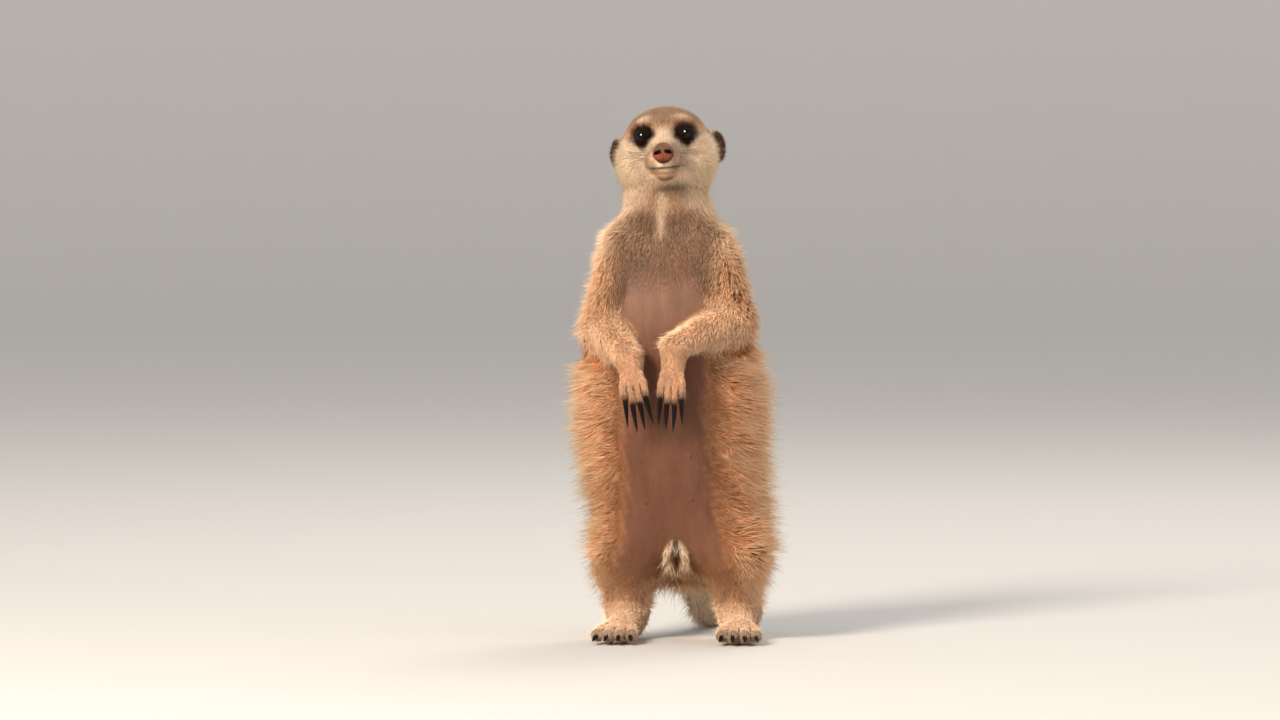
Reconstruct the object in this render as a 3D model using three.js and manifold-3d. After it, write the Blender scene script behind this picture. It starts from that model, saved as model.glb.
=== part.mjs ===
// A meerkat that stands upright on its hind legs and its tail, at life size, in millimetres.
// It faces -Y, its left side is +X and the floor is the plane z = 0. The surface is the outside of the coat.
// The body is one smooth field, which is meshed at the fineness each part needs and parted with thin cuts.
import * as THREE from "three";
import { mergeVertices } from "three/addons/utils/BufferGeometryUtils.js";
import Module from "manifold-3d";

const wasm = await Module();
wasm.setup();

// ---------------------------------------------------------------- driving dimensions

const cut = 0.3; // gap left between neighbouring parts
const sides = { left: 1, right: -1 };

const head = {
  centre: [-10.4, -5, 278.5],
  roll: 4.5, // degrees, the left ear is the higher one
  nod: 0, // degrees, muzzle down
  yaw: 2, // degrees, towards the left
  halfWidth: 24.4,
  halfLength: 26.2,
  halfHeight: 20.6,
  cheek: { out: 12.4, forward: 6, down: 10.5, size: [14.4, 16, 13] },
  brow: { out: 11, forward: 15.8, up: 8.2, size: [6.8, 6.8, 6.8] },
  muzzle: { root: [0, -16, -4.5], rootRadius: 12.6, tip: [0, -40, -7.2], tipRadius: 6 },
  lips: { out: 4.6, forward: 35, down: 9.6, size: [6.6, 9.5, 4.9] },
  jaw: { root: [0, -8, -15], rootRadius: 8.5, tip: [0, -34, -15.6], tipRadius: 4.4 },
  mouth: { height: -12.0, back: -22, slope: 4, reach: 60 },
  nose: { at: [0, -44.6, -5.0], size: [5.7, 4.1, 5.5] },
  eye: { out: 11.6, forward: 19.4, up: 5.3, radius: 4.9 },
  orbit: { out: 12.3, forward: 25.4, up: 5.1, size: [5.8, 4.8, 5.2] },
  ear: { out: 26.8, forward: -5, down: 4.7, halfThick: 3.4, halfLong: 9.8, halfTall: 11.2, flare: 36 },
};

// The trunk and neck as level sections: height, centre x, centre y, half width, depth in front and behind.
const trunk = [
  [30, -1.5, 6, 7, 7, 9],
  [40, -1.5, 5, 28, 22, 27],
  [56, -2.5, 4, 41.5, 31, 37],
  [80, -5.5, 3, 48, 38, 40],
  [106, -7.2, 2, 51, 42, 39],
  [132, -8, 2, 52.5, 40, 37.5],
  [156, -8.8, 2, 50.5, 36.5, 36],
  [180, -9.2, 2, 43, 33, 34],
  [202, -9.5, 1, 36.5, 30.5, 32],
  [218, -9.5, 0, 34, 27.5, 30],
  [232, -9.5, -1, 29.5, 22.5, 27],
  [246, -9.8, -2.5, 25.2, 19.8, 24],
  [262, -10.5, -4, 23, 18.6, 23],
  [278, -10.5, -4, 22, 17, 21],
];
const boxiness = 2.15; // exponent of the level sections, 2 is an ellipse

const arm = {
  left: {
    shoulder: [16.5, -10, 213],
    elbow: [30, -15, 181],
    wrist: [-2.2, -50.5, 167],
    knuckles: [-3, -53.5, 148],
  },
  right: {
    shoulder: [-33.5, -6, 212],
    elbow: [-47, -10, 177],
    wrist: [-27.8, -47.5, 161],
    knuckles: [-25, -52.5, 147],
  },
  shoulderRadius: 15,
  elbowRadius: 11.3,
  wristRadius: 8.3,
  handBackRadii: [7.5, 5.3],
};
const palm = { halfWidth: 6.9, halfThick: 5.7, halfLength: 12, share: 0.62 }; // share: how far along the hand
const finger = { spacing: 3.5, length: 9.2, rootRadius: 2.6, tipRadius: 2.15, middleExtra: 3.0, fan: 0.04 };
const fingerClaw = { length: 17, rootRadius: 1.6, bend: 3.6 };

const leg = {
  shift: -1.8, // both legs stand this far to the side, towards the right
  hip: [23, 9, 76],
  knee: [29.5, -14, 52],
  ankle: [31.5, 9, 19],
  ball: [34, -27, 6.4],
  hipRadius: 24.5,
  kneeRadius: 20.5,
  ankleRadius: 14.5,
  ballRadius: 7.8,
};
const sole = {
  heelHeight: 8,
  heelRadius: 9.4,
  edgeHeelRadius: 8.6,
  edgeBallRadius: 5.8,
  spread: 4.5,
  toeHeight: 4.7,
};
// Each thigh is parted from the rump by a slanting plane, through two points given as how far out and how
// high they are.
const groin = { inner: [2.5, 27], outer: [54, 87] };
const toe = { spacing: 5.0, length: 12.5, rootRadius: 4.1, tipRadius: 3.3, middleExtra: 2.8, fan: 0.1 };
const toeClaw = { length: 9.5, rootRadius: 1.6, bend: 2.2 };
const digits = 4; // on every foot

// The tail as points along its middle, with the radius at each.
const tail = [
  [0, 30, 58, 12.5],
  [0, 44, 42, 10.8],
  [1, 56, 25, 9.4],
  [3, 71, 12, 8.2],
  [6, 92, 7.2, 7.6],
  [8, 118, 6.6, 7.0],
  [5, 146, 6.0, 6.4],
  [-3, 172, 5.2, 5.5],
  [-13, 195, 3.4, 3.6],
];

// Heights at which the trunk is parted into neck, chest, belly and rump.
const neckTop = 256;
const chestTop = 230;
const bellyTop = 168;
const rumpTop = 88;

// The size of the cells that each part is meshed with, or three sizes where a part is long one way.
const cells = {
  torso: [11, 11, 14],
  head: [5, 5, 5],
  ear: 3.4,
  nose: 3,
  armCut: [10, 10, 11],
  arm: 7.8,
  hand: [3, 3.7, 6.4],
  leg: [10, 10, 12],
  foot: [4.4, 7.4, 3.8],
  tail: [5.8, 15, 5.8],
};

// How far the box that each part is meshed in reaches beyond the points that it is laid around.
const margin = { torso: 12, ear: 15, nose: 8, arm: 18, hand: 9, leg: 30, foot: 14, tail: 15 };
const headBox = { at: [0, -8, -1], size: [77, 108, 61] };

// How far past its own field a zone is kept, so that the cut doesn't graze the surface of its neighbour, and
// how far it is cleared, as a share of the cut.
const zoneReach = { arm: 3, ear: 0.25, nose: 0.2 };
const zoneSwell = 1.8;
const socketSwell = 1.2; // around a claw's root
const trunkBottom = 1; // under the whole trunk

const colours = {
  tan: 0xb98a5e,
  cream: 0xdcbf99,
  greyBrown: 0x7c5f4d,
  dark: 0x2c201b,
  nose: 0x7a3f33,
  eye: 0x120c0a,
  claw: 0x1d1613,
};

// ---------------------------------------------------------------- fields: distance in mm, negative inside

// Smooth union and smooth cut of two distances, rounded over k mm.
function soften(a, b, k) {
  const h = Math.max(k - Math.abs(a - b), 0) / k;
  return Math.min(a, b) - (h * h * k) / 4;
}
const carve = (a, b, k) => -soften(-a, b, k);

const blend = (k, fields) => (p) => fields.map((f) => f(p)).reduce((a, b) => soften(a, b, k));

// An ellipsoid, turned about its centre by an optional quaternion.
function ellipsoid(centre, size, turn) {
  const middle = new THREE.Vector3(...centre);
  const radii = new THREE.Vector3(...size);
  const back = turn ? turn.clone().invert() : new THREE.Quaternion();
  return (p) => {
    const q = p.clone().sub(middle).applyQuaternion(back).divide(radii);
    const near = q.length();
    return near < 1e-9 ? -Math.min(...size) : (near * (near - 1)) / q.divide(radii).length();
  };
}

// A bone with flesh: two balls and the cone between them.
function limb(from, to, fromRadius, toRadius) {
  const a = new THREE.Vector3(...from);
  const axis = new THREE.Vector3(...to).sub(a);
  const length = axis.length();
  const taper = fromRadius - toRadius;
  const slant = Math.sqrt(length * length - taper * taper) / length;
  axis.divideScalar(length);
  return (p) => {
    const q = p.clone().sub(a);
    const along = q.dot(axis);
    const out = Math.sqrt(Math.max(q.lengthSq() - along * along, 0));
    const shift = along * slant - (out * taper) / length;
    if (shift < 0) return Math.hypot(along, out) - fromRadius;
    if (shift > length * slant) return Math.hypot(along - length, out) - toRadius;
    return out * slant + (along * taper) / length - fromRadius;
  };
}

// The value of a row of stations at a height, on a smooth curve through them.
function stationAt(stations, z) {
  const last = stations.length - 1;
  const below = stations.filter((station) => station[0] <= z).length - 1;
  const k = THREE.MathUtils.clamp(below, 0, last - 1);
  const near = [k - 1, k, k + 1, k + 2].map((i) => THREE.MathUtils.clamp(i, 0, last));
  const [before, a, b, after] = near.map((i) => stations[i]);
  const t = THREE.MathUtils.clamp((z - a[0]) / (b[0] - a[0]), 0, 1);
  return a.slice(1).map((value, column) => {
    const c = column + 1;
    const startSlope = ((b[c] - before[c]) / (b[0] - before[0])) * (b[0] - a[0]);
    const endSlope = ((after[c] - a[c]) / (after[0] - a[0])) * (b[0] - a[0]);
    const [t2, t3] = [t * t, t * t * t];
    const ends = (2 * t3 - 3 * t2 + 1) * value + (3 * t2 - 2 * t3) * b[c];
    return ends + (t3 - 2 * t2 + t) * startSlope + (t3 - t2) * endSlope;
  });
}

function column(stations) {
  const [lowest, highest] = [stations[0][0], stations.at(-1)[0]];
  return (p) => {
    const [x, y, half, front, behind] = stationAt(stations, p.z);
    const depth = p.y < y ? front : behind;
    const ratio =
      (Math.abs((p.x - x) / half) ** boxiness + Math.abs((p.y - y) / depth) ** boxiness) ** (1 / boxiness);
    const flat = (ratio - 1) * Math.min(half, depth);
    const beyond = Math.max(lowest - p.z, p.z - highest, 0);
    return beyond > 0 ? Math.hypot(Math.max(flat, 0), beyond) + Math.min(flat, 0) * 0.2 : flat;
  };
}

// ---------------------------------------------------------------- head

const headTurn = new THREE.Quaternion().setFromEuler(
  new THREE.Euler(...[head.nod, -head.roll, head.yaw].map(THREE.MathUtils.degToRad)),
);

// A place given in the head's own frame, from the head's centre.
function onHead([x, y, z]) {
  return new THREE.Vector3(x, y, z)
    .applyQuaternion(headTurn)
    .add(new THREE.Vector3(...head.centre))
    .toArray();
}

// The same lump on both sides of the head.
function pairOnHead({ out, forward, up = 0, down = 0, size }) {
  return Object.values(sides).map((s) => ellipsoid(onHead([s * out, -forward, up - down]), size, headTurn));
}

function skullField() {
  const { cheek, brow, muzzle, lips, jaw } = head;
  const half = [head.halfWidth, head.halfLength, head.halfHeight];
  const cranium = ellipsoid(onHead([0, 2.2, 0]), half, headTurn);
  const [cheeks, brows, pads] = [cheek, brow, lips].map(pairOnHead);
  return blend(6, [
    cranium,
    ...cheeks,
    ...brows,
    blend(3, [limb(onHead(muzzle.root), onHead(muzzle.tip), muzzle.rootRadius, muzzle.tipRadius), ...pads]),
    limb(onHead(jaw.root), onHead(jaw.tip), jaw.rootRadius, jaw.tipRadius),
  ]);
}

const eyeCentre = (s) => onHead([s * head.eye.out, -head.eye.forward, head.eye.up]);
const orbits = pairOnHead(head.orbit);

const noseTip = ellipsoid(onHead(head.nose.at), head.nose.size, headTurn);

// An ear is a rounded dish, open to the front and side.
function earField(s) {
  const { out, forward, down, halfThick, halfLong, halfTall, flare } = head.ear;
  const swing = new THREE.Euler(0, 0, THREE.MathUtils.degToRad(-s * flare));
  const turn = headTurn.clone().multiply(new THREE.Quaternion().setFromEuler(swing));
  const centre = new THREE.Vector3(...onHead([s * out, -forward, -down]));
  const outward = new THREE.Vector3(s, 0, 0).applyQuaternion(turn);
  const shell = ellipsoid(centre.toArray(), [halfThick, halfLong, halfTall], turn);
  const hollowAt = centre.clone().addScaledVector(outward, halfThick * 0.95);
  const hollow = ellipsoid(hollowAt.toArray(), [halfThick * 0.8, halfLong * 0.62, halfTall * 0.68], turn);
  return (p) => carve(shell(p), hollow(p), 1.2);
}
const ears = { left: earField(1), right: earField(-1) };

// ---------------------------------------------------------------- limbs and tail

// Where each digit starts and ends, fanned out from the end of a palm or sole.
function digitPlaces(end, direction, across, form) {
  return Array.from({ length: digits }, (_, i) => {
    const place = i - (digits - 1) / 2;
    const reach = form.length + (Math.abs(place) < 1 ? form.middleExtra : 0);
    const start = end.clone().addScaledVector(across, place * form.spacing);
    const heading = direction.clone().addScaledVector(across, place * form.fan).normalize();
    return { start, heading, tip: start.clone().addScaledVector(heading, reach) };
  });
}

const digitFields = (places, form) =>
  places.map(({ start, tip }) => limb(start.toArray(), tip.toArray(), form.rootRadius, form.tipRadius));

function handOf(side) {
  const wrist = new THREE.Vector3(...arm[side].wrist);
  const knuckles = new THREE.Vector3(...arm[side].knuckles);
  const direction = knuckles.clone().sub(wrist).normalize();
  const outward = new THREE.Vector3(1, 0, 0);
  const across = outward.addScaledVector(direction, -outward.dot(direction)).normalize();
  const palmSide = new THREE.Vector3().crossVectors(across, direction).normalize();
  if (palmSide.y < 0) palmSide.negate();
  const places = digitPlaces(knuckles, direction, across, finger);
  const palmTurn = new THREE.Quaternion().setFromRotationMatrix(
    new THREE.Matrix4().makeBasis(across, new THREE.Vector3().crossVectors(direction, across), direction),
  );
  const palmMiddle = wrist.clone().lerp(knuckles, palm.share).toArray();
  const pad = ellipsoid(palmMiddle, [palm.halfWidth, palm.halfThick, palm.halfLength], palmTurn);
  const field = blend(2.2, [pad, ...digitFields(places, finger)]);
  return { field, places, palmSide };
}
const hands = { left: handOf("left"), right: handOf("right") };

function armField(side) {
  const { shoulder, elbow, wrist, knuckles } = arm[side];
  const upper = limb(shoulder, elbow, arm.shoulderRadius, arm.elbowRadius);
  const lower = limb(elbow, wrist, arm.elbowRadius, arm.wristRadius);
  const back = limb(wrist, knuckles, ...arm.handBackRadii);
  return blend(5, [blend(3, [upper, lower]), blend(3, [back, hands[side].field])]);
}
const arms = { left: armField("left"), right: armField("right") };

const mirrored = (point, s) => [point[0] * s + leg.shift, point[1], point[2]];

function footOf(s) {
  const ball = new THREE.Vector3(...mirrored(leg.ball, s));
  const heel = new THREE.Vector3(...mirrored(leg.ankle, s)).setZ(sole.heelHeight);
  const direction = ball.clone().sub(heel).setZ(0).normalize();
  const across = new THREE.Vector3(-direction.y, direction.x, 0);
  const places = digitPlaces(ball.clone().setZ(sole.toeHeight), direction, across, toe);
  const middle = limb(heel.toArray(), ball.toArray(), sole.heelRadius, leg.ballRadius);
  const edges = [-1, 1].map((k) => {
    const end = ball.clone().addScaledVector(across, k * sole.spread);
    return limb(heel.toArray(), end.toArray(), sole.edgeHeelRadius, sole.edgeBallRadius);
  });
  return { field: blend(2.4, [middle, ...edges, ...digitFields(places, toe)]), places };
}
const feet = { left: footOf(1), right: footOf(-1) };

function legField(side) {
  const s = sides[side];
  const thigh = limb(mirrored(leg.hip, s), mirrored(leg.knee, s), leg.hipRadius, leg.kneeRadius);
  const shank = limb(mirrored(leg.knee, s), mirrored(leg.ankle, s), leg.kneeRadius, leg.ankleRadius);
  return blend(6, [blend(8, [thigh, shank]), feet[side].field]);
}
const legs = { left: legField("left"), right: legField("right") };

const tailField = blend(
  2,
  tail.slice(1).map((b, i) => limb(tail[i].slice(0, 3), b.slice(0, 3), tail[i][3], b[3])),
);

// Where the tail leaves the rump, and its direction there.
const tailRoot = {
  place: tail[1].slice(0, 3),
  direction: [0, tail[2][1] - tail[0][1], tail[2][2] - tail[0][2]],
};

// ---------------------------------------------------------------- the whole animal as one field

const torsoField = column(trunk);
const skull = skullField();
const shoulderBlend = { low: 186, high: 208, tight: 2, loose: 9 };

// Head, neck, trunk and legs.
function trunkField(p) {
  let d = soften(torsoField(p), skull(p), 7);
  for (const orbit of orbits) d = carve(d, orbit(p), 2.2);
  for (const leg of Object.values(legs)) d = soften(d, leg(p), 7);
  return d;
}

// The arms grow out of the shoulders, and lie against the belly with a clear crease.
function armedField(p) {
  const { low, high, tight, loose } = shoulderBlend;
  const k = THREE.MathUtils.mapLinear(THREE.MathUtils.clamp(p.z, low, high), low, high, tight, loose);
  return Object.values(arms).reduce((d, arm) => soften(d, arm(p), k), trunkField(p));
}

const tailedField = (p) => soften(trunkField(p), tailField(p), 6);

// ---------------------------------------------------------------- from a field to a closed solid

// The twelve edges and eight corners of a cell, as corner numbers with x, y and z as bits.
const cellEdges = [0, 1, 2].flatMap((axis) =>
  [...Array(8).keys()].filter((c) => !(c & (1 << axis))).map((c) => [c, c | (1 << axis)]),
);

// Meshes the part of a field that lies in a box, one vertex to a cell, drawn in to the surface.
// The cell is one size, or three where the part is long in one direction.
function meshed(field, box, cellSize) {
  const cell = new THREE.Vector3(...(Array.isArray(cellSize) ? cellSize : Array(3).fill(cellSize)));
  const count = box.getSize(new THREE.Vector3()).divide(cell).ceil().addScalar(2);
  const origin = box.min.clone().addScaledVector(cell, -0.5);
  const [nx, ny, nz] = count.toArray().map((c) => c + 1);
  const index = (i, j, k) => (k * ny + j) * nx + i;
  const values = new Float32Array(nx * ny * nz);
  const point = new THREE.Vector3();
  const at = (i, j, k) => point.set(i, j, k).multiply(cell).add(origin);
  for (let k = 0; k < nz; k++)
    for (let j = 0; j < ny; j++)
      for (let i = 0; i < nx; i++) {
        const border = !i || !j || !k || i === nx - 1 || j === ny - 1 || k === nz - 1;
        values[index(i, j, k)] = border ? cell.x : field(at(i, j, k)) || 1e-6;
      }
  settle(values, [nx, ny, nz]);
  const vertexOf = new Map();
  const positions = [];
  for (let k = 0; k < nz - 1; k++)
    for (let j = 0; j < ny - 1; j++)
      for (let i = 0; i < nx - 1; i++) {
        const corner = (c) => [i + (c & 1), j + ((c >> 1) & 1), k + ((c >> 2) & 1)];
        const value = [...Array(8).keys()].map((c) => values[index(...corner(c))]);
        const crossed = cellEdges.filter(([a, b]) => value[a] < 0 !== value[b] < 0);
        if (!crossed.length) continue;
        const middle = [0, 0, 0];
        for (const [a, b] of crossed) {
          const t = value[a] / (value[a] - value[b]);
          corner(a).forEach((low, axis) => (middle[axis] += low + t * (corner(b)[axis] - low)));
        }
        vertexOf.set(index(i, j, k), positions.length / 3);
        const start = at(...middle.map((m) => m / crossed.length)).clone();
        positions.push(...drawnIn(field, start, Math.min(...cell.toArray()), box).toArray());
      }
  const triangles = [];
  const steps = [1, nx, nx * ny];
  for (let k = 0; k < nz - 1; k++)
    for (let j = 0; j < ny - 1; j++)
      for (let i = 0; i < nx - 1; i++)
        for (let axis = 0; axis < 3; axis++) {
          const here = index(i, j, k);
          const [a, b] = [values[here], values[here + steps[axis]]];
          if (a < 0 === b < 0) continue;
          const [u, v] = [steps[(axis + 1) % 3], steps[(axis + 2) % 3]];
          const quad = [here - u - v, here - v, here, here - u].map((cellAt) => vertexOf.get(cellAt));
          if (b < 0) quad.reverse();
          triangles.push(quad[0], quad[1], quad[2], quad[0], quad[2], quad[3]);
        }
  return { vertProperties: new Float32Array(positions), triVerts: new Uint32Array(triangles) };
}

// The corners of a cell with a given sign, if they don't all hang together along its edges.
function scattered(bits, sign) {
  const members = [...Array(8).keys()].filter((c) => ((bits >> c) & 1) === sign);
  const reached = new Set(members.slice(0, 1));
  for (const c of reached)
    for (const axis of [1, 2, 4]) if (((bits >> (c ^ axis)) & 1) === sign) reached.add(c ^ axis);
  return reached.size < members.length ? members : [];
}

// For each pattern of signs in a cell, the corners of which one has to change for a single clean surface.
const unclear = [...Array(256).keys()].map((bits) => {
  for (const axis of [0, 1, 2])
    for (const side of [0, 1]) {
      const [u, v] = [1 << ((axis + 1) % 3), 1 << ((axis + 2) % 3)];
      const face = [0, u, v, u | v].map((c) => c | (side << axis));
      const [a, b, c, d] = face.map((corner) => (bits >> corner) & 1);
      if (a === d && b === c && a !== b) return face;
    }
  return [...scattered(bits, 0), ...scattered(bits, 1)];
});

// Fills the faintest gap of every unclear cell until none is left, so that the mesh closes cleanly.
function settle(values, [nx, ny, nz]) {
  const inner = (i, j, k) => i > 0 && j > 0 && k > 0 && i < nx - 1 && j < ny - 1 && k < nz - 1;
  for (let fills = 1; fills; ) {
    fills = 0;
    for (let k = 0; k < nz - 1; k++)
      for (let j = 0; j < ny - 1; j++)
        for (let i = 0; i < nx - 1; i++) {
          const place = (c) => ((k + ((c >> 2) & 1)) * ny + j + ((c >> 1) & 1)) * nx + i + (c & 1);
          let bits = 0;
          for (let c = 0; c < 8; c++) if (values[place(c)] < 0) bits |= 1 << c;
          const gaps = unclear[bits]
            .filter((c) => !((bits >> c) & 1) && inner(i + (c & 1), j + ((c >> 1) & 1), k + ((c >> 2) & 1)))
            .map(place);
          if (!gaps.length) continue;
          values[gaps.reduce((a, b) => (values[b] < values[a] ? b : a))] = -1e-4;
          fills++;
        }
  }
}

// The direction and steepness in which a field grows at a point.
function slopeAt(field, p) {
  const step = 0.2;
  const value = field(p);
  return new THREE.Vector3(
    field(p.clone().setX(p.x + step)) - value,
    field(p.clone().setY(p.y + step)) - value,
    field(p.clone().setZ(p.z + step)) - value,
  ).divideScalar(step);
}

// Moves a point to the surface along the field's slope, by at most half a cell and within the box.
function drawnIn(field, p, cell, box) {
  const slope = slopeAt(field, p);
  const move = slope.multiplyScalar(-field(p) / Math.max(slope.lengthSq(), 0.2)).clampLength(0, cell * 0.5);
  const moved = p.clone().add(move);
  return box.containsPoint(moved) ? moved : p;
}

const closed = (vertProperties, triVerts) =>
  new wasm.Manifold(new wasm.Mesh({ numProp: 3, vertProperties, triVerts }));

function solidOf(field, box, cell) {
  const { vertProperties, triVerts } = meshed(field, box, cell);
  return closed(vertProperties, triVerts);
}

// The solid of a three.js shape, whose corners are merged first.
function manifoldOf(shape) {
  const geometry = mergeVertices(shape.deleteAttribute("normal").deleteAttribute("uv"));
  const corners = new Float32Array(geometry.getAttribute("position").array);
  return closed(corners, new Uint32Array(geometry.getIndex().array));
}

function geometryOf(solid) {
  const mesh = solid.getMesh();
  const geometry = new THREE.BufferGeometry();
  geometry.setAttribute("position", new THREE.BufferAttribute(new Float32Array(mesh.vertProperties), 3));
  geometry.setIndex(new THREE.BufferAttribute(new Uint32Array(mesh.triVerts), 1));
  return geometry;
}

const largest = (solid) => solid.decompose().sort((a, b) => b.volume() - a.volume())[0];
const boxAround = (points, margin) =>
  new THREE.Box3().setFromPoints(points.map((p) => new THREE.Vector3(...p))).expandByScalar(margin);

// ---------------------------------------------------------------- parting

// Keeps what lies between two levels, each drawn back by half the cut.
function slab(solid, low, high) {
  return solid.trimByPlane([0, 0, 1], low + cut / 2).trimByPlane([0, 0, -1], -(high - cut / 2));
}

// Parts a solid at a place along a direction into what comes before it and what comes after.
function partAt(solid, place, direction) {
  const normal = new THREE.Vector3(...direction).normalize();
  const level = normal.dot(new THREE.Vector3(...place));
  return [
    solid.trimByPlane(normal.clone().negate().toArray(), -(level - cut / 2)),
    solid.trimByPlane(normal.toArray(), level + cut / 2),
  ];
}

const between = (a, b) => new THREE.Vector3(...b).sub(new THREE.Vector3(...a)).toArray();
const grown = (field, by) => (p) => field(p) - by;

// A zone is one solid to keep, and the same one swollen by the cut, to take out of the rest.
function zoneOf(field, box, cell, reach) {
  const { vertProperties, triVerts } = meshed(grown(field, reach), box, cell);
  const swollen = vertProperties.slice();
  for (let i = 0; i < swollen.length; i += 3) {
    const p = new THREE.Vector3().fromArray(swollen, i);
    p.addScaledVector(slopeAt(field, p).normalize(), zoneSwell * cut).toArray(swollen, i);
  }
  return { keep: closed(vertProperties, triVerts), clear: closed(swollen, triVerts) };
}

const solids = new Map();
const add = (name, solid, colour) => solids.set(name, { solid: largest(solid), colour });

function partArm(side) {
  const { shoulder, elbow, wrist, knuckles } = arm[side];
  const tips = hands[side].places.map(({ tip }) => tip.toArray());
  const box = boxAround([shoulder, elbow, wrist, knuckles, ...tips], margin.arm);
  const zone = zoneOf(arms[side], box, cells.armCut, zoneReach.arm);
  const coarse = solidOf(armedField, box, cells.arm).intersect(zone.keep);
  const [upper, lower] = partAt(coarse, elbow, between(shoulder, wrist));
  const fore = partAt(lower, wrist, between(wrist, knuckles))[0];
  add(`upper_arm_${side}`, upper, colours.tan);
  add(`forearm_${side}`, fore, colours.cream);
  const handBox = boxAround([wrist, ...tips], margin.hand);
  const hand = partAt(solidOf(arms[side], handBox, cells.hand), wrist, between(wrist, knuckles))[1];
  const bared = setClaws(`front_claw_${side}`, hands[side].places, hand, hands[side].palmSide, fingerClaw);
  add(`hand_${side}`, bared, colours.cream);
  return zone.clear;
}

// The plane between a thigh and the rump, as a direction into the thigh and a point on the plane.
function groinPlane(side) {
  const { inner, outer } = groin;
  const s = sides[side];
  const into = [s * (outer[1] - inner[1]), 0, inner[0] - outer[0]];
  return { into, place: mirrored([inner[0], 0, inner[1]], s) };
}

function partLeg(side) {
  const s = sides[side];
  const [hip, knee, ankle, ball] = [leg.hip, leg.knee, leg.ankle, leg.ball].map((p) => mirrored(p, s));
  const tips = feet[side].places.map(({ tip }) => tip.toArray());
  const { into, place } = groinPlane(side);
  const box = boxAround([hip, knee, ankle], margin.leg);
  const whole = partAt(solidOf(trunkField, box, cells.leg), place, into)[1];
  const [thigh, lower] = partAt(whole, knee, between(hip, ankle));
  add(`thigh_${side}`, thigh, colours.tan);
  add(`shank_${side}`, partAt(lower, ankle, [0, 0, -1])[0], colours.tan);
  const footBox = boxAround([ankle, ball, ...tips], margin.foot);
  const sole = solidOf(legs[side], footBox, cells.foot).trimByPlane([0, 0, 1], 0);
  const foot = partAt(sole, ankle, [0, 0, -1])[1];
  const down = new THREE.Vector3(0, 0, -1);
  add(`foot_${side}`, setClaws(`hind_claw_${side}`, feet[side].places, foot, down, toeClaw), colours.cream);
}

function partTail() {
  const box = boxAround(tail.map((t) => t.slice(0, 3)), margin.tail);
  const lying = solidOf(tailField, box, cells.tail).trimByPlane([0, 0, 1], 0);
  const free = partAt(lying, tailRoot.place, tailRoot.direction)[1];
  const [base, rest] = partAt(free, tail[4].slice(0, 3), [0, 1, 0]);
  const [middle, tip] = partAt(rest, tail[7].slice(0, 3), [0, 1, 0]);
  add("tail_base", base, colours.tan);
  add("tail_middle", middle, colours.tan);
  add("tail_tip", tip, colours.dark);
}

function partHead() {
  const box = new THREE.Box3().setFromCenterAndSize(
    new THREE.Vector3(...onHead(headBox.at)),
    new THREE.Vector3(...headBox.size),
  );
  let skullSolid = solidOf(trunkField, box, cells.head).trimByPlane([0, 0, 1], neckTop + cut / 2);

  for (const [side, s] of Object.entries(sides)) {
    const centre = onHead([s * head.ear.out, -head.ear.forward, -head.ear.down]);
    const zone = zoneOf(ears[side], boxAround([centre], margin.ear), cells.ear, zoneReach.ear);
    add(`ear_${side}`, zone.keep, colours.dark);
    skullSolid = skullSolid.subtract(zone.clear);

    const ball = (radius, detail) =>
      manifoldOf(new THREE.IcosahedronGeometry(radius, detail)).translate(eyeCentre(s));
    add(`eye_${side}`, ball(head.eye.radius, 2), colours.eye);
    skullSolid = skullSolid.subtract(ball(head.eye.radius + 2 * cut, 1));
  }

  const noseBox = boxAround([onHead(head.nose.at)], margin.nose);
  const noseZone = zoneOf(noseTip, noseBox, cells.nose, zoneReach.nose);
  add("nose", noseZone.keep, colours.nose);
  skullSolid = skullSolid.subtract(noseZone.clear);

  const { jaw, rest } = partJaw(skullSolid);
  add("lower_jaw", jaw, colours.cream);
  add("head", rest, colours.cream);
}

// The lower jaw is what lies under the mouth line, from its corner forward.
function partJaw(skullSolid) {
  const { height, back, slope, reach } = head.mouth;
  const tilt = new THREE.Quaternion().setFromEuler(new THREE.Euler(THREE.MathUtils.degToRad(slope), 0, 0));
  const turn = headTurn.clone().multiply(tilt);
  const corner = new THREE.Vector3(...onHead([0, back, height]));
  const wedge = (grow) => {
    const centre = new THREE.Vector3(0, grow - reach / 2, grow - reach / 2).applyQuaternion(turn).add(corner);
    const block = new THREE.BoxGeometry(reach, reach, reach).applyQuaternion(turn);
    return manifoldOf(block).translate(centre.toArray());
  };
  return { jaw: skullSolid.intersect(wedge(0)), rest: skullSolid.subtract(wedge(cut)) };
}

// ---------------------------------------------------------------- claws

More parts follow.
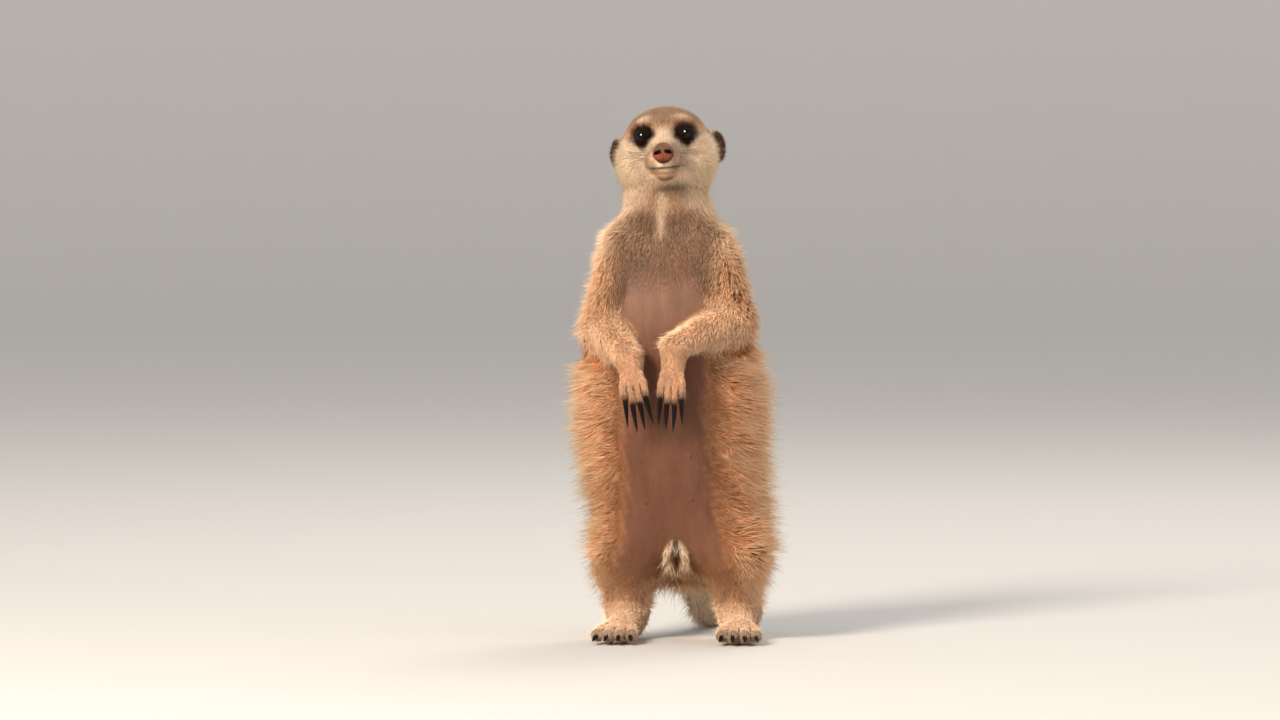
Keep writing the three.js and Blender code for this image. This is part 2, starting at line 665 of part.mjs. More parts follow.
// A curved horn: rings that shrink along a bow towards one side, closed by a point.
function horn(root, heading, sag, { length, rootRadius, bend }, swell = 0) {
  const rings = 4;
  const corners = 6;
  const flatness = 0.85; // width to height
  const acrossAxis = new THREE.Vector3().crossVectors(heading, sag).normalize();
  const bow = (t) =>
    root
      .clone()
      .addScaledVector(heading, length * t)
      .addScaledVector(sag, bend * t * t);
  const points = [];
  for (let ring = 0; ring < rings; ring++) {
    const t = ring / rings;
    const radius = rootRadius * (1 - t) ** 0.7 + swell;
    const middle = bow(ring ? t : -swell / length);
    for (let c = 0; c < corners; c++) {
      const angle = (c / corners) * Math.PI * 2;
      const p = middle.clone().addScaledVector(acrossAxis, Math.cos(angle) * radius * flatness);
      points.push(...p.addScaledVector(sag, Math.sin(angle) * radius).toArray());
    }
  }
  const tip = points.length / 3;
  points.push(...bow(1 + swell / length).toArray(), ...bow(-swell / length).toArray());
  const faces = [];
  for (let c = 0; c < corners; c++) {
    const next = (c + 1) % corners;
    for (let ring = 0; ring < rings - 1; ring++) {
      const [a, b] = [ring * corners + c, ring * corners + next];
      faces.push(a, b, b + corners, a, b + corners, a + corners);
    }
    const end = (rings - 1) * corners;
    faces.push(end + c, end + next, tip);
    faces.push(next, c, tip + 1);
  }
  const solid = closed(new Float32Array(points), new Uint32Array(faces));
  return solid.volume() > 0 ? solid : closed(new Float32Array(points), new Uint32Array(faces.toReversed()));
}

// Sets a claw into the end of each digit, and gives back the paw with the sockets for them.
function setClaws(prefix, places, paw, sag, form) {
  return places.reduce((left, { tip, heading }, i) => {
    add(`${prefix}_${i + 1}`, horn(tip, heading, sag, form).trimByPlane([0, 0, 1], cut), colours.claw);
    return left.subtract(horn(tip, heading, sag, form, socketSwell * cut));
  }, paw);
}

// ---------------------------------------------------------------- assembly

const armClear = Object.keys(sides).map(partArm);
Object.keys(sides).forEach(partLeg);
partTail();
partHead();

const torsoBox = boxAround(
  trunk.flatMap(([z, x, y, half, front, back]) => [
    [x - half, y - front, z],
    [x + half, y + back, z],
  ]),
  margin.torso,
);
let torso = solidOf(tailedField, torsoBox, cells.torso);
for (const clear of armClear) torso = torso.subtract(clear);
add("neck", slab(torso, chestTop, neckTop), colours.cream);
add("chest", slab(torso, bellyTop, chestTop), colours.greyBrown);
add("belly", slab(torso, rumpTop, bellyTop), colours.greyBrown);
let rump = partAt(slab(torso, trunkBottom, rumpTop), tailRoot.place, tailRoot.direction)[0];
for (const { into, place } of Object.keys(sides).map(groinPlane)) rump = partAt(rump, place, into)[0];
add("rump", rump, colours.tan);

const meerkat = new THREE.Group();
for (const [name, { solid, colour }] of solids) {
  const roughness = name.startsWith("eye") ? 0.1 : name.includes("claw") ? 0.4 : 0.9;
  const material = new THREE.MeshStandardMaterial({ color: colour, roughness, metalness: 0 });
  const mesh = new THREE.Mesh(geometryOf(solid), material);
  mesh.name = name;
  meerkat.add(mesh);
}

// The origin is on the floor, under the middle of the whole.
const extent = new THREE.Box3().setFromObject(meerkat);
const middle = extent.getCenter(new THREE.Vector3());
meerkat.position.set(-middle.x, -middle.y, -extent.min.z);

export default meerkat;
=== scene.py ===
import math

import bmesh
import bpy
import numpy as np
import openvdb as vdb
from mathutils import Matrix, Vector
from mathutils.bvhtree import BVHTree
from mathutils.kdtree import KDTree


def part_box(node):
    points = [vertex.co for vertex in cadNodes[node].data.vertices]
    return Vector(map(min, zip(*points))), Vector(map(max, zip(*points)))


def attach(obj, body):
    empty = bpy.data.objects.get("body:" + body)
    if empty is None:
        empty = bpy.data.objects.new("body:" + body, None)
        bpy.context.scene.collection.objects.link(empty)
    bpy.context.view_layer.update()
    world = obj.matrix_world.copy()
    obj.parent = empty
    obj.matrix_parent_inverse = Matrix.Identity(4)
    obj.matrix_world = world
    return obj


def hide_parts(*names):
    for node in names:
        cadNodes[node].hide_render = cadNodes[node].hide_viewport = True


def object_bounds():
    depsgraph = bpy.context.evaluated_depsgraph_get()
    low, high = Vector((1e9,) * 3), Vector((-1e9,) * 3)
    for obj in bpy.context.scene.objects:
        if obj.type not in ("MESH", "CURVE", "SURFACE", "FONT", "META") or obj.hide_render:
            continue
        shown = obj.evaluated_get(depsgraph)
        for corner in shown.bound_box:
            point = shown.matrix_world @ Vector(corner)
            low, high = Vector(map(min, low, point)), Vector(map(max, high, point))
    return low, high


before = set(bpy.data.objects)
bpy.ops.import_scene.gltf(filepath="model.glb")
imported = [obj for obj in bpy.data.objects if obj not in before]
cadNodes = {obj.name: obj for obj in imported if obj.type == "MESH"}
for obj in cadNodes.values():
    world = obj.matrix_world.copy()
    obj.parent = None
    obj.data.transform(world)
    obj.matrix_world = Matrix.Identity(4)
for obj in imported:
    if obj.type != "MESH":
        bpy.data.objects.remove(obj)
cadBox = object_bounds()
mm = 0.001  # the body is worked out in millimetres and turned into metres when a mesh is made
sides = {"left": 1, "right": -1}  # the animal's own sides, its left is +X
random = np.random.default_rng(20)


# Small helpers for numbers, points and fields

def smooth(low, high, value):
    t = np.clip((value - low) / (high - low), 0, 1)
    return t * t * (3 - 2 * t)


def unit(vectors):
    return vectors / np.maximum(np.linalg.norm(vectors, axis=-1, keepdims=True), 1e-9)


def mix(a, b, share):
    return a + (b - a) * share


def bell(value, width):
    return np.exp(-(value / width) ** 2)


def gapTo(points, spot):
    return np.linalg.norm(points - spot, axis=1)


def boxOf(node):
    low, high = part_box(node)
    return np.array(low) / mm, np.array(high) / mm


def middleOf(node):
    low, high = boxOf(node)
    return (low + high) / 2


def sampled(field, points):
    values, low = field  # trilinear reading of a grid whose first cell stands at low
    spot = np.clip(points - low, 0, np.array(values.shape) - 1.001)
    cell = spot.astype(int)
    x, y, z = (spot - cell).T
    i, j, k = cell.T
    total = 0
    for di, wx in ((0, 1 - x), (1, x)):
        for dj, wy in ((0, 1 - y), (1, y)):
            for dk, wz in ((0, 1 - z), (1, z)):
                total = total + values[i + di, j + dj, k + dk] * wx * wy * wz
    return total


def slopeOf(field, points, step=0.6):
    parts = []
    for axis in np.eye(3) * step:
        parts.append(sampled(field, points + axis) - sampled(field, points - axis))
    return np.stack(parts, axis=1) / (2 * step)


def blurred(values, sigma):
    reach = int(math.ceil(3 * sigma))
    taps = np.exp(-0.5 * (np.arange(-reach, reach + 1) / sigma) ** 2).astype(np.float32)
    taps /= taps.sum()
    for axis in range(3):
        padding = [(reach, reach) if axis == k else (0, 0) for k in range(3)]
        padded = np.pad(values, padding, mode="edge")
        length = values.shape[axis]
        values = np.zeros_like(values)
        for start, tap in enumerate(taps):
            part = [slice(None)] * 3
            part[axis] = slice(start, start + length)
            values += tap * padded[tuple(part)]
    return values


def spreadOut(coarse, step, shape):
    for axis in range(3):  # a coarse grid read at every cell of a fine one
        t = np.arange(shape[axis]) / step
        i = np.minimum(t.astype(int), coarse.shape[axis] - 2)
        share = (t - i).reshape([-1 if axis == k else 1 for k in range(3)]).astype(np.float32)
        coarse = mix(np.take(coarse, i, axis), np.take(coarse, i + 1, axis), share)
    return coarse


# Helpers for materials

def linear(code):
    values = [int(code[i:i + 2], 16) / 255 for i in (1, 3, 5)]  # a colour code as the shader wants it
    return (*[v / 12.92 if v <= 0.04045 else ((v + 0.055) / 1.055) ** 2.4 for v in values], 1)


def newMaterial(name, look):
    material = bpy.data.materials.new(name)
    material.use_nodes = True
    shader = material.node_tree.nodes["Principled BSDF"]
    shader.inputs["Roughness"].default_value = look["roughness"]
    if "specular" in look:
        shader.inputs["Specular IOR Level"].default_value = look["specular"]
    return material, material.node_tree, shader


def colourBy(tree, shader, colour):
    tree.links.new(colour, shader.inputs["Base Color"])


def attribute(tree, name):
    node = tree.nodes.new("ShaderNodeAttribute")
    node.attribute_name = name
    return node.outputs["Fac"]


def setOrLink(tree, value, socket):
    if isinstance(value, (int, float, tuple)):
        socket.default_value = value
    else:
        tree.links.new(value, socket)


def reckoned(tree, kind, a, b):
    node = tree.nodes.new("ShaderNodeMath")
    node.operation = kind
    setOrLink(tree, a, node.inputs[0])
    setOrLink(tree, b, node.inputs[1])
    return node.outputs[0]


def spreadBetween(tree, value, low, high, start=0.0, end=1.0):
    node = tree.nodes.new("ShaderNodeMapRange")
    tree.links.new(value, node.inputs["Value"])
    for name, number in (("From Min", low), ("From Max", high), ("To Min", start), ("To Max", end)):
        node.inputs[name].default_value = number
    return node.outputs["Result"]


def blended(tree, a, b, share):
    node = tree.nodes.new("ShaderNodeMix")
    node.data_type = "RGBA"
    for socket, value in ((0, share), (6, a), (7, b)):
        setOrLink(tree, value, node.inputs[socket])
    return node.outputs[2]


def noise(tree, scale, detail=3, stretch=(1, 1, 1)):
    place = tree.nodes.new("ShaderNodeTexCoord")
    mapping = tree.nodes.new("ShaderNodeMapping")
    mapping.inputs["Scale"].default_value = stretch
    tree.links.new(place.outputs["Object"], mapping.inputs["Vector"])
    node = tree.nodes.new("ShaderNodeTexNoise")
    node.inputs["Scale"].default_value = scale
    node.inputs["Detail"].default_value = detail
    tree.links.new(mapping.outputs[0], node.inputs["Vector"])
    return node.outputs["Fac"]


def bumped(tree, shader, height, strength, distance):
    node = tree.nodes.new("ShaderNodeBump")
    node.inputs["Strength"].default_value = strength
    node.inputs["Distance"].default_value = distance
    tree.links.new(height, node.inputs["Height"])
    tree.links.new(node.outputs[0], shader.inputs["Normal"])


# The camera and the room

camera = dict(azimuth=5, elevation=2.5, distance=4.6, seenHeight=0.403, aimFromEyes=(-0.0153, 0.024, -0.127),
              sensor=36, imageShape=1280 / 720, clip=(0.1, 50))
eyesMiddle = (middleOf("eye_left") + middleOf("eye_right")) / 2


def standAt(stand, place, aim):
    azimuth, elevation = math.radians(place["azimuth"]), math.radians(place["elevation"])
    level = math.cos(elevation)
    way = Vector((math.sin(azimuth) * level, -math.cos(azimuth) * level, math.sin(elevation)))
    stand.location = aim + way * place["distance"]
    stand.rotation_mode = "QUATERNION"
    stand.rotation_quaternion = (-way).to_track_quat("-Z", "Y")
    bpy.context.scene.collection.objects.link(stand)


def setCamera(aim):
    data = bpy.data.cameras.new("camera")
    rig = bpy.data.objects.new("camera", data)
    standAt(rig, camera, aim)
    data.sensor_width = camera["sensor"]
    data.lens = camera["sensor"] * camera["distance"] / (camera["seenHeight"] * camera["imageShape"])
    data.clip_start, data.clip_end = camera["clip"]
    bpy.context.scene.camera = rig


# Each lamp stands at an azimuth and height round the animal, is this wide, this strong, and this colour
lamps = {
    "key": dict(azimuth=-27, elevation=29, distance=3.0, width=0.95, power=132, colour=(1.0, 0.88, 0.75)),
    "catch": dict(azimuth=-6, elevation=17, distance=1.9, width=0.74, power=190, colour=(1.0, 0.97, 0.92)),
    "fill": dict(azimuth=62, elevation=14, distance=2.2, width=1.6, power=7, colour=(0.97, 0.96, 1.0)),
    "rim": dict(azimuth=160, elevation=48, distance=2.0, width=0.9, power=13, colour=(1.0, 0.93, 0.84)),
}
seenByCatch = bpy.data.collections.new("seen by the catch lamp")  # only the eyes


def setLamps(aim):
    for name, lamp in lamps.items():
        data = bpy.data.lights.new(name, "AREA")
        data.shape = "DISK"
        data.size = lamp["width"]
        data.energy = lamp["power"]
        data.color = lamp["colour"]
        stand = bpy.data.objects.new(name, data)
        stand.visible_glossy = name in ("catch", "rim")  # one bright point in each eye
        stand.visible_diffuse = name != "catch"
        if name == "catch":
            stand.light_linking.receiver_collection = seenByCatch
        standAt(stand, lamp, aim)


# The paper lies flat round the animal, curves up and turns paler with height
room = dict(paper=(0.62, 0.605, 0.58), wall=(0.9, 0.885, 0.86), fadeHeight=1.44, roughness=0.9,
            air=(0.97, 0.97, 1.0), airPower=0.63, floor=4.6, curve=2.4, curveSteps=16, height=5.0, around=96)


def paperMaterial():
    material, tree, shader = newMaterial("paper", room)
    place, parts = tree.nodes.new("ShaderNodeTexCoord"), tree.nodes.new("ShaderNodeSeparateXYZ")
    tree.links.new(place.outputs["Object"], parts.inputs[0])
    height = spreadBetween(tree, parts.outputs["Z"], 0, room["fadeHeight"])
    colourBy(tree, shader, blended(tree, (*room["paper"], 1), (*room["wall"], 1), height))
    return material


def setRoom():
    profile = [(0.01, 0.0), (room["floor"] * 0.5, 0.0)]
    for step in range(room["curveSteps"] + 1):
        angle = math.pi / 2 * step / room["curveSteps"]
        out = room["floor"] + room["curve"] * math.sin(angle)
        profile.append((out, room["curve"] * (1 - math.cos(angle))))
    profile.append((room["floor"] + room["curve"], room["height"]))
    around = room["around"]
    turns = [2 * math.pi * k / around for k in range(around)]
    points = [(r * math.cos(turn), r * math.sin(turn), z) for r, z in profile for turn in turns]
    faces = []
    for start in range(0, (len(profile) - 1) * around, around):
        for k in range(around):
            after = (k + 1) % around
            faces.append((start + k, start + around + k, start + around + after, start + after))
    faces.append(list(range(around)))
    sheet = bpy.data.meshes.new("paper")
    sheet.from_pydata(points, [], faces)
    sheet.polygons.foreach_set("use_smooth", [True] * len(faces))
    sheet.materials.append(paperMaterial())
    paper = bpy.data.objects.new("paper", sheet)
    bpy.context.scene.collection.objects.link(paper)
    world = bpy.data.worlds.new("air")
    world.use_nodes = True
    background = world.node_tree.nodes["Background"]
    background.inputs["Color"].default_value = (*room["air"], 1)
    background.inputs["Strength"].default_value = room["airPower"]
    bpy.context.scene.world = world
    bpy.context.scene.view_settings.view_transform = "Standard"


viewAim = Vector(eyesMiddle * mm) + Vector(camera["aimFromEyes"])
setCamera(viewAim)
setLamps(viewAim)
setRoom()
print("camera, lamps and paper are set")


# What each part of the body is like. smooth evens out the solid (mm), depth is how far the skin lies inside
# it, and length, lift (degrees), width and crowd (for each square mm) are those of its tufts.
regions = {
    "head": dict(smooth=1.6, depth=0.9, length=2.7, lift=17, width=0.23, crowd=7.6),
    "lower_jaw": dict(smooth=1.3, depth=0.8, length=2.4, lift=18, width=0.22, crowd=7.4),
    "ear": dict(smooth=0.9, depth=0.6, length=2.3, lift=20, width=0.28, crowd=5.5),
    "neck": dict(smooth=3.0, depth=3.2, length=5.8, lift=26, width=0.33, crowd=3.3),
    "chest": dict(smooth=3.5, depth=3.8, length=8.0, lift=36, width=0.42, crowd=2.3),
    "belly": dict(smooth=4.0, depth=7.6, length=13.5, lift=48, width=0.46, crowd=1.9),
    "rump": dict(smooth=4.0, depth=7.6, length=13.0, lift=44, width=0.46, crowd=1.8),
    "upper_arm": dict(smooth=3.0, depth=3.0, length=7.0, lift=36, width=0.40, crowd=2.5),
    "forearm": dict(smooth=2.0, depth=2.0, length=4.2, lift=25, width=0.33, crowd=3.4),
    "hand": dict(smooth=1.0, depth=1.0, length=2.4, lift=15, width=0.28, crowd=5.5),
    "thigh": dict(smooth=4.0, depth=7.8, length=13.5, lift=50, width=0.46, crowd=1.9),
    "shank": dict(smooth=3.0, depth=5.5, length=10.5, lift=48, width=0.44, crowd=2.0),
    "foot": dict(smooth=1.3, depth=1.0, length=3.0, lift=18, width=0.34, crowd=3.0),
    "tail_base": dict(smooth=2.2, depth=3.5, length=7.5, lift=27, width=0.44, crowd=2.2),
    "tail_middle": dict(smooth=1.6, depth=2.6, length=6.5, lift=24, width=0.42, crowd=2.4),
    "tail_tip": dict(smooth=1.4, depth=2.2, length=7.0, lift=22, width=0.42, crowd=2.6),
}
bareSkin = dict(depth=1.2, length=2.6, lift=13, width=0.16, crowd=3.0)
canBeBare = ("chest", "belly", "rump", "thigh", "shank")
trunkChange = (146, 196)  # the heights between which the belly's coat turns into the chest's
napeChange = dict(height=(282, 256), back=(-14, -34))  # the head's coat turns into the neck's behind the ears
pairs = ["ear", "upper_arm", "forearm", "hand", "thigh", "shank", "foot"]
fleshNodes = [n for n in regions if n not in pairs] + [f"{n}_{side}" for n in pairs for side in sides]
kindOf = {node: node.removesuffix("_left").removesuffix("_right") for node in fleshNodes}
eyeNodes = [f"eye_{side}" for side in sides]
digitsEach = 4
clawSets = [(f"{end}_claw_{side}", [f"{end}_claw_{side}_{i}" for i in range(1, digitsEach + 1)])
            for end in ("front", "hind") for side in sides]
bodyGrid = dict(reach=12, margin=5, coarse=4, closing=0.45, softness=1.6)


def nodeShape(node):
    data = cadNodes[node].data
    data.calc_loop_triangles()
    points = np.empty(len(data.vertices) * 3, np.float32)
    data.vertices.foreach_get("co", points)
    corners = np.empty(len(data.loop_triangles) * 3, np.int32)
    data.loop_triangles.foreach_get("vertices", corners)
    return points.reshape(-1, 3) / mm, corners.reshape(-1, 3).astype(np.uint32)


def distanceTo(node):
    points, corners = nodeShape(node)
    reach = bodyGrid["reach"]
    grid = vdb.FloatGrid.createLevelSetFromPolygons(points, triangles=corners, halfWidth=reach,
                                                    transform=vdb.createLinearTransform(voxelSize=1.0))
    low = np.floor(points.min(0)).astype(int) - reach
    values = np.empty(np.ceil(points.max(0)).astype(int) + reach + 1 - low, np.float32)
    grid.copyToArray(values, ijk=tuple(map(int, low)))
    return values, low


distances = {node: distanceTo(node) for node in fleshNodes + eyeNodes + ["nose"]}


# The face has its own axes: across to the animal's left, up, and forward, from between the eyes

noseDrop = math.radians(21.4)  # how far the nose stands below the way the face looks


def faceAxes():
    across = unit(middleOf("eye_left") - middleOf("eye_right"))
    ahead = middleOf("nose") - eyesMiddle
    ahead = unit(ahead - across * (ahead @ across))
    above = np.cross(ahead, across)
    forward = ahead * math.cos(noseDrop) + above * math.sin(noseDrop)
    return np.array([across, above * math.cos(noseDrop) - ahead * math.sin(noseDrop), forward])


faceWays = faceAxes()


def onFace(points):
    return (points - eyesMiddle) @ faceWays.T


def regionWeights(points):
    weights = {}
    for node in fleshNodes:
        values, low = distances[node]
        near = ((points >= low) & (points <= low + np.array(values.shape) - 1)).all(axis=1)
        weight = np.zeros(len(points))
        gap = np.maximum(sampled(distances[node], points[near]), 0)
        weight[near] = np.where(gap < bodyGrid["reach"] - 0.1, 1 / (gap + bodyGrid["softness"]) ** 3, 0)
        weights[node] = weight + 1e-7
    share = smooth(*trunkChange, points[:, 2])
    trunk = weights["chest"] + weights["belly"]  # the chest's coat turns into the belly's slowly
    weights["chest"], weights["belly"] = trunk * share, trunk * (1 - share)
    nape = smooth(*napeChange["height"], points[:, 2]) * smooth(*napeChange["back"], onFace(points)[:, 2])
    weights["neck"] = weights["neck"] + weights["head"] * nape
    weights["head"] = weights["head"] * (1 - nape)
    total = sum(weights.values())
    return {node: weight / total for node, weight in weights.items()}


def regionValue(weights, key):
    return sum(weight * regions[kindOf[node]][key] for node, weight in weights.items())


def kindShare(weights, kinds):
    return sum(weight for node, weight in weights.items() if kindOf[node] in kinds)


spineNodes = sorted(("rump", "belly", "chest", "neck"), key=lambda node: middleOf(node)[2])


def spineAt(z):
    middles = np.array([middleOf(node) for node in spineNodes])
    return np.stack([np.interp(z, middles[:, 2], middles[:, k]) for k in (0, 1)], axis=1)


def offSpine(points):
    return points[:, 0] - spineAt(points[:, 2])[:, 0]


# The bare belly runs down the front from the chest to the inside of the legs: its half width at each height
belly = dict(heights=(22, 43, 70, 100, 150, 196, 216, 228), halves=(35, 33, 28, 25.5, 26, 25, 22, 6),
             shift=-1, top=(222, 186), bottom=(22, 52), coatGrows=(-3, 13))


def pastBelly(points):
    half = np.interp(points[:, 2], belly["heights"], belly["halves"])
    return np.abs(offSpine(points) - belly["shift"]) - half


def bareness(points, normals, soft=7, wander=1):
    x, z = points[:, 0], points[:, 2]
    edge = 1.3 * np.sin(z * 0.17 + x * 0.3) + 0.8 * np.sin(z * 0.47 + x * 0.9 + 2)
    edge = wander * (edge + 0.6 * np.sin(z * 1.13 - x * 0.5))
    front = smooth(-0.15, 0.25, -normals[:, 1]) * smooth(*belly["top"], z) * smooth(*belly["bottom"], z)
    return smooth(soft, -soft, pastBelly(points) + edge) * front


def besideBelly(points, normals):  # from 0 at the bare belly's edge to 1 where the coat has its whole length
    return np.maximum(smooth(*belly["coatGrows"], pastBelly(points)), smooth(0.55, 0.1, -normals[:, 1]))


# The skin runs smoothly from the chest and neck over each upper arm, and from the elbow to the flank
armBlend = dict(reach=12, above=196, fill=0.25, shoulderFill=0.5, shoulder=(216, 228), flankFill=0.55,
                flank=32)


def overlap(node, low, shape):
    values, start = distances[node]
    first, last = np.maximum(start, low), np.minimum(start + np.array(values.shape), low + shape)
    here = tuple(slice(a, b) for a, b in zip(first - low, last - low))
    return here, values[tuple(slice(a, b) for a, b in zip(first - start, last - start))]


def joinedFields(a, b, fill):
    share = np.maximum(armBlend["reach"] - np.abs(a - b), 0) / armBlend["reach"]
    return np.minimum(a, b) - share ** 2 * armBlend["reach"] * fill


def bodyField():
    low = np.floor(np.array(cadBox[0]) / mm).astype(int) - bodyGrid["margin"]
    high = np.ceil(np.array(cadBox[1]) / mm).astype(int) + bodyGrid["margin"]
    shape = high - low + 1
    body = np.full(shape, bodyGrid["reach"], np.float32)
    whole = {}
    for node in distances:
        here, values = overlap(node, low, shape)
        body[here] = np.minimum(body[here], values)
        if kindOf.get(node) in ("chest", "neck", "belly", "upper_arm"):
            whole[node] = np.full(shape, bodyGrid["reach"], np.float32)
            whole[node][here] = values
    trunk = np.minimum(whole["chest"], whole["neck"])
    level = (np.arange(shape[2]) + low[2])[None, None]
    outside = np.abs(np.arange(shape[0]) + low[0] - middleOf("chest")[0])[:, None, None] > armBlend["flank"]
    fill = mix(armBlend["fill"], armBlend["shoulderFill"], smooth(*armBlend["shoulder"], level))
    for side in sides:
        arm = whole[f"upper_arm_{side}"]
        body = np.where(level > armBlend["above"], np.minimum(body, joinedFields(trunk, arm, fill)), body)
        flank = np.minimum(body, joinedFields(whole["belly"], arm, armBlend["flankFill"]))
        body = np.where(outside & (level < armBlend["above"]), flank, body)
    joined = vdb.FloatGrid(bodyGrid["reach"])
    joined.copyFromArray(body - bodyGrid["closing"], ijk=tuple(map(int, low)))
    points, quads = joined.convertToQuads()
    outline = vdb.FloatGrid.createLevelSetFromPolygons(points, quads=quads, exBandWidth=8, inBandWidth=16,
                                                       transform=vdb.createLinearTransform(voxelSize=1.0))
    outline.copyToArray(body, ijk=tuple(map(int, low)))
    return body + bodyGrid["closing"], low


def coarsePoints(shape, low):
    step = bodyGrid["coarse"]
    axes = [np.arange(int(math.ceil(n / step)) + 2) * step + start for n, start in zip(shape, low)]
    mesh = np.meshgrid(*axes, indexing="ij")
    return np.stack([m.ravel() for m in mesh], axis=1), mesh[0].shape


def skinField():
    outline, low = bodyField()
    points, coarseShape = coarsePoints(outline.shape, low)
    weights = regionWeights(points)

    def spread(values):
        return spreadOut(values.reshape(coarseShape).astype(np.float32), bodyGrid["coarse"], outline.shape)

    blurs = [blurred(outline, sigma) for sigma in (1.0, 2.0, 4.0)]
    level = np.clip(np.log2(spread(regionValue(weights, "smooth"))), 0, 2)
    even = mix(mix(blurs[0], blurs[1], np.clip(level, 0, 1)), blurs[2], np.clip(level - 1, 0, 1))
    towards = unit(slopeOf((blurs[2], low), points, 2))
    bare = bareness(points, towards, soft=9, wander=0) * kindShare(weights, canBeBare)
    depth = mix(regionValue(weights, "depth"), bareSkin["depth"], bare)
    return even + spread(depth), low


field, fieldLow = skinField()
print("the body's field is made")


# Claws are horns set in the ends of the digits. Each one's root, tip and bow are read off its solid.

def clawLine(node):
    points = nodeShape(node)[0]
    middle = points.mean(0)
    axis = np.linalg.svd(points - middle, full_matrices=False)[2][0]
    along = (points - middle) @ axis
    ends = [points[along < np.quantile(along, 0.3)], points[along > np.quantile(along, 0.7)]]
    ends = [end - end.mean(0) for end in ends]
    widths = [np.linalg.norm(end - np.outer(end @ axis, axis), axis=1).mean() for end in ends]
    if widths[0] < widths[1]:
        axis, along = -axis, -along
    root = points[along < along.min() + 0.4].mean(0)
    tip = points[np.argmax(along)]
    radius = np.linalg.norm(points[along < along.min() + 0.4] - root, axis=1).max()
    return root, tip, axis, radius


claws = {node: clawLine(node) for _, members in clawSets for node in members}
digits = dict(front=dict(radius=1.85, back=13, blend=1.5), hind=dict(radius=3.1, back=15, blend=1.8))


def addDigits(values, low):
    for node, (root, _, axis, _) in claws.items():
        form = digits[node.split("_")[0]]
        end = root - axis * 0.6
        start = root - axis * form["back"]
        near = np.floor(np.minimum(start, end) - 7).astype(int) - low
        far = np.ceil(np.maximum(start, end) + 7).astype(int) - low
        window = tuple(slice(max(a, 0), b) for a, b in zip(near, far))
        spots = np.stack(np.meshgrid(*[np.arange(s.start, s.stop) for s in window], indexing="ij"), -1) + low
        line = end - start
        t = np.clip(((spots - start) @ line) / (line @ line), 0, 1)
        knuckle = 0.12 * bell(t - 0.55, 0.14) - 0.9 * smooth(0.45, 0, t)
        gap = np.linalg.norm(spots - start - t[..., None] * line, axis=-1) - form["radius"] - knuckle
        old = values[window]
        blend = np.maximum(form["blend"] - np.abs(old - gap), 0) / form["blend"]
        values[window] = np.minimum(old, gap) - blend ** 2 * form["blend"] / 4


addDigits(field, fieldLow)


# The eyes' and the mouth's places on the face

eyeCentres = {side: middleOf(f"eye_{side}") for side in sides}
eyeRadius = np.mean([np.subtract(*boxOf(node)[::-1]).mean() / 2 for node in eyeNodes])
eyeOpening = dict(wide=3.2, high=2.8, low=2.6, tilt=9, yaw=20, pitch=3, lid=0.25, sunk=1.2, reach=3.9)
eyeOnFace = np.abs(onFace(eyeCentres["left"]))
noseMiddle = middleOf("nose")
noseOnFace = onFace(noseMiddle)
mouth = dict(level=-18.2, rise=0.006, halfLength=17, depth=1.5, width=0.5, lip=0.45)


def eyeAxes(side):
    yaw, pitch = math.radians(eyeOpening["yaw"]) * sides[side], math.radians(eyeOpening["pitch"])
    gaze = np.array([math.sin(yaw), math.sin(pitch), math.cos(yaw)])
    outward = unit(np.cross([0, 1, 0], gaze)) * sides[side]
    upward = unit(np.cross(gaze, outward)) * sides[side]
    tilt = math.radians(eyeOpening["tilt"])
    across = outward * math.cos(tilt) + upward * math.sin(tilt)
    above = upward * math.cos(tilt) - outward * math.sin(tilt)
    return np.array([across, above, gaze]) @ faceWays


def eyeReach(points, side):
    away = points - eyeCentres[side]  # measured on the ball, 1 is the edge of the lids
    far = np.linalg.norm(away, axis=1, keepdims=True)
    away = away * np.maximum(eyeRadius / np.maximum(far, 0.1), 1)
    across, above, ahead = (away @ eyeAxes(side).T).T
    high = np.where(above > 0, eyeOpening["high"], eyeOpening["low"])
    reach = np.sqrt((across / eyeOpening["wide"]) ** 2 + (above / high) ** 2)
    return np.where(ahead > 0, reach, 9.0), above


# The skin as one mesh, finer where the face, hands and feet need it

mound = dict(x=2.0, z=50, across=6.0, along=11, height=3.2, slitAcross=0.9, slitAlong=6.5, slitDepth=2.4)
fineness = dict(face=30, faceBehind=-9, digits=15, mound=12, eye=8.5, mouthHalf=13, mouthHigh=3.2)


def nearDigits(points):
    roots = np.array([claw[0] for claw in claws.values()])
    return np.linalg.norm(points[:, None] - roots[None], axis=2).min(axis=1)


def nearEars(points):
    return np.minimum(sampled(distances["ear_left"], points), sampled(distances["ear_right"], points))


def wantsHalf(points):
    face = (gapTo(points, eyesMiddle) < fineness["face"]) & (onFace(points)[:, 2] > fineness["faceBehind"])
    slit = np.hypot(points[:, 0] - mound["x"], points[:, 2] - mound["z"]) < fineness["mound"]
    return face | (nearDigits(points) < fineness["digits"]) | slit & (points[:, 1] < middleOf("rump")[1])


def wantsQuarter(points):
    u, v, w = onFace(points).T
    eyes = np.min([gapTo(points, centre) for centre in eyeCentres.values()], axis=0)
    lips = (np.abs(u) < fineness["mouthHalf"]) & (np.abs(v - mouth["level"]) < fineness["mouthHigh"])
    return (eyes < fineness["eye"]) & (w > -3) | lips & (w > 8)


def refine(shape, wants):
    for chosen in wants:
        middles = np.array([f.calc_center_median() for f in shape.faces])
        edges = {e for f, wanted in zip(shape.faces, chosen(middles)) if wanted for e in f.edges}
        bmesh.ops.subdivide_edges(shape, edges=list(edges), cuts=1, use_grid_fill=True)
        many = [f for f in shape.faces if len(f.verts) > 4]
        bmesh.ops.triangulate(shape, faces=many)


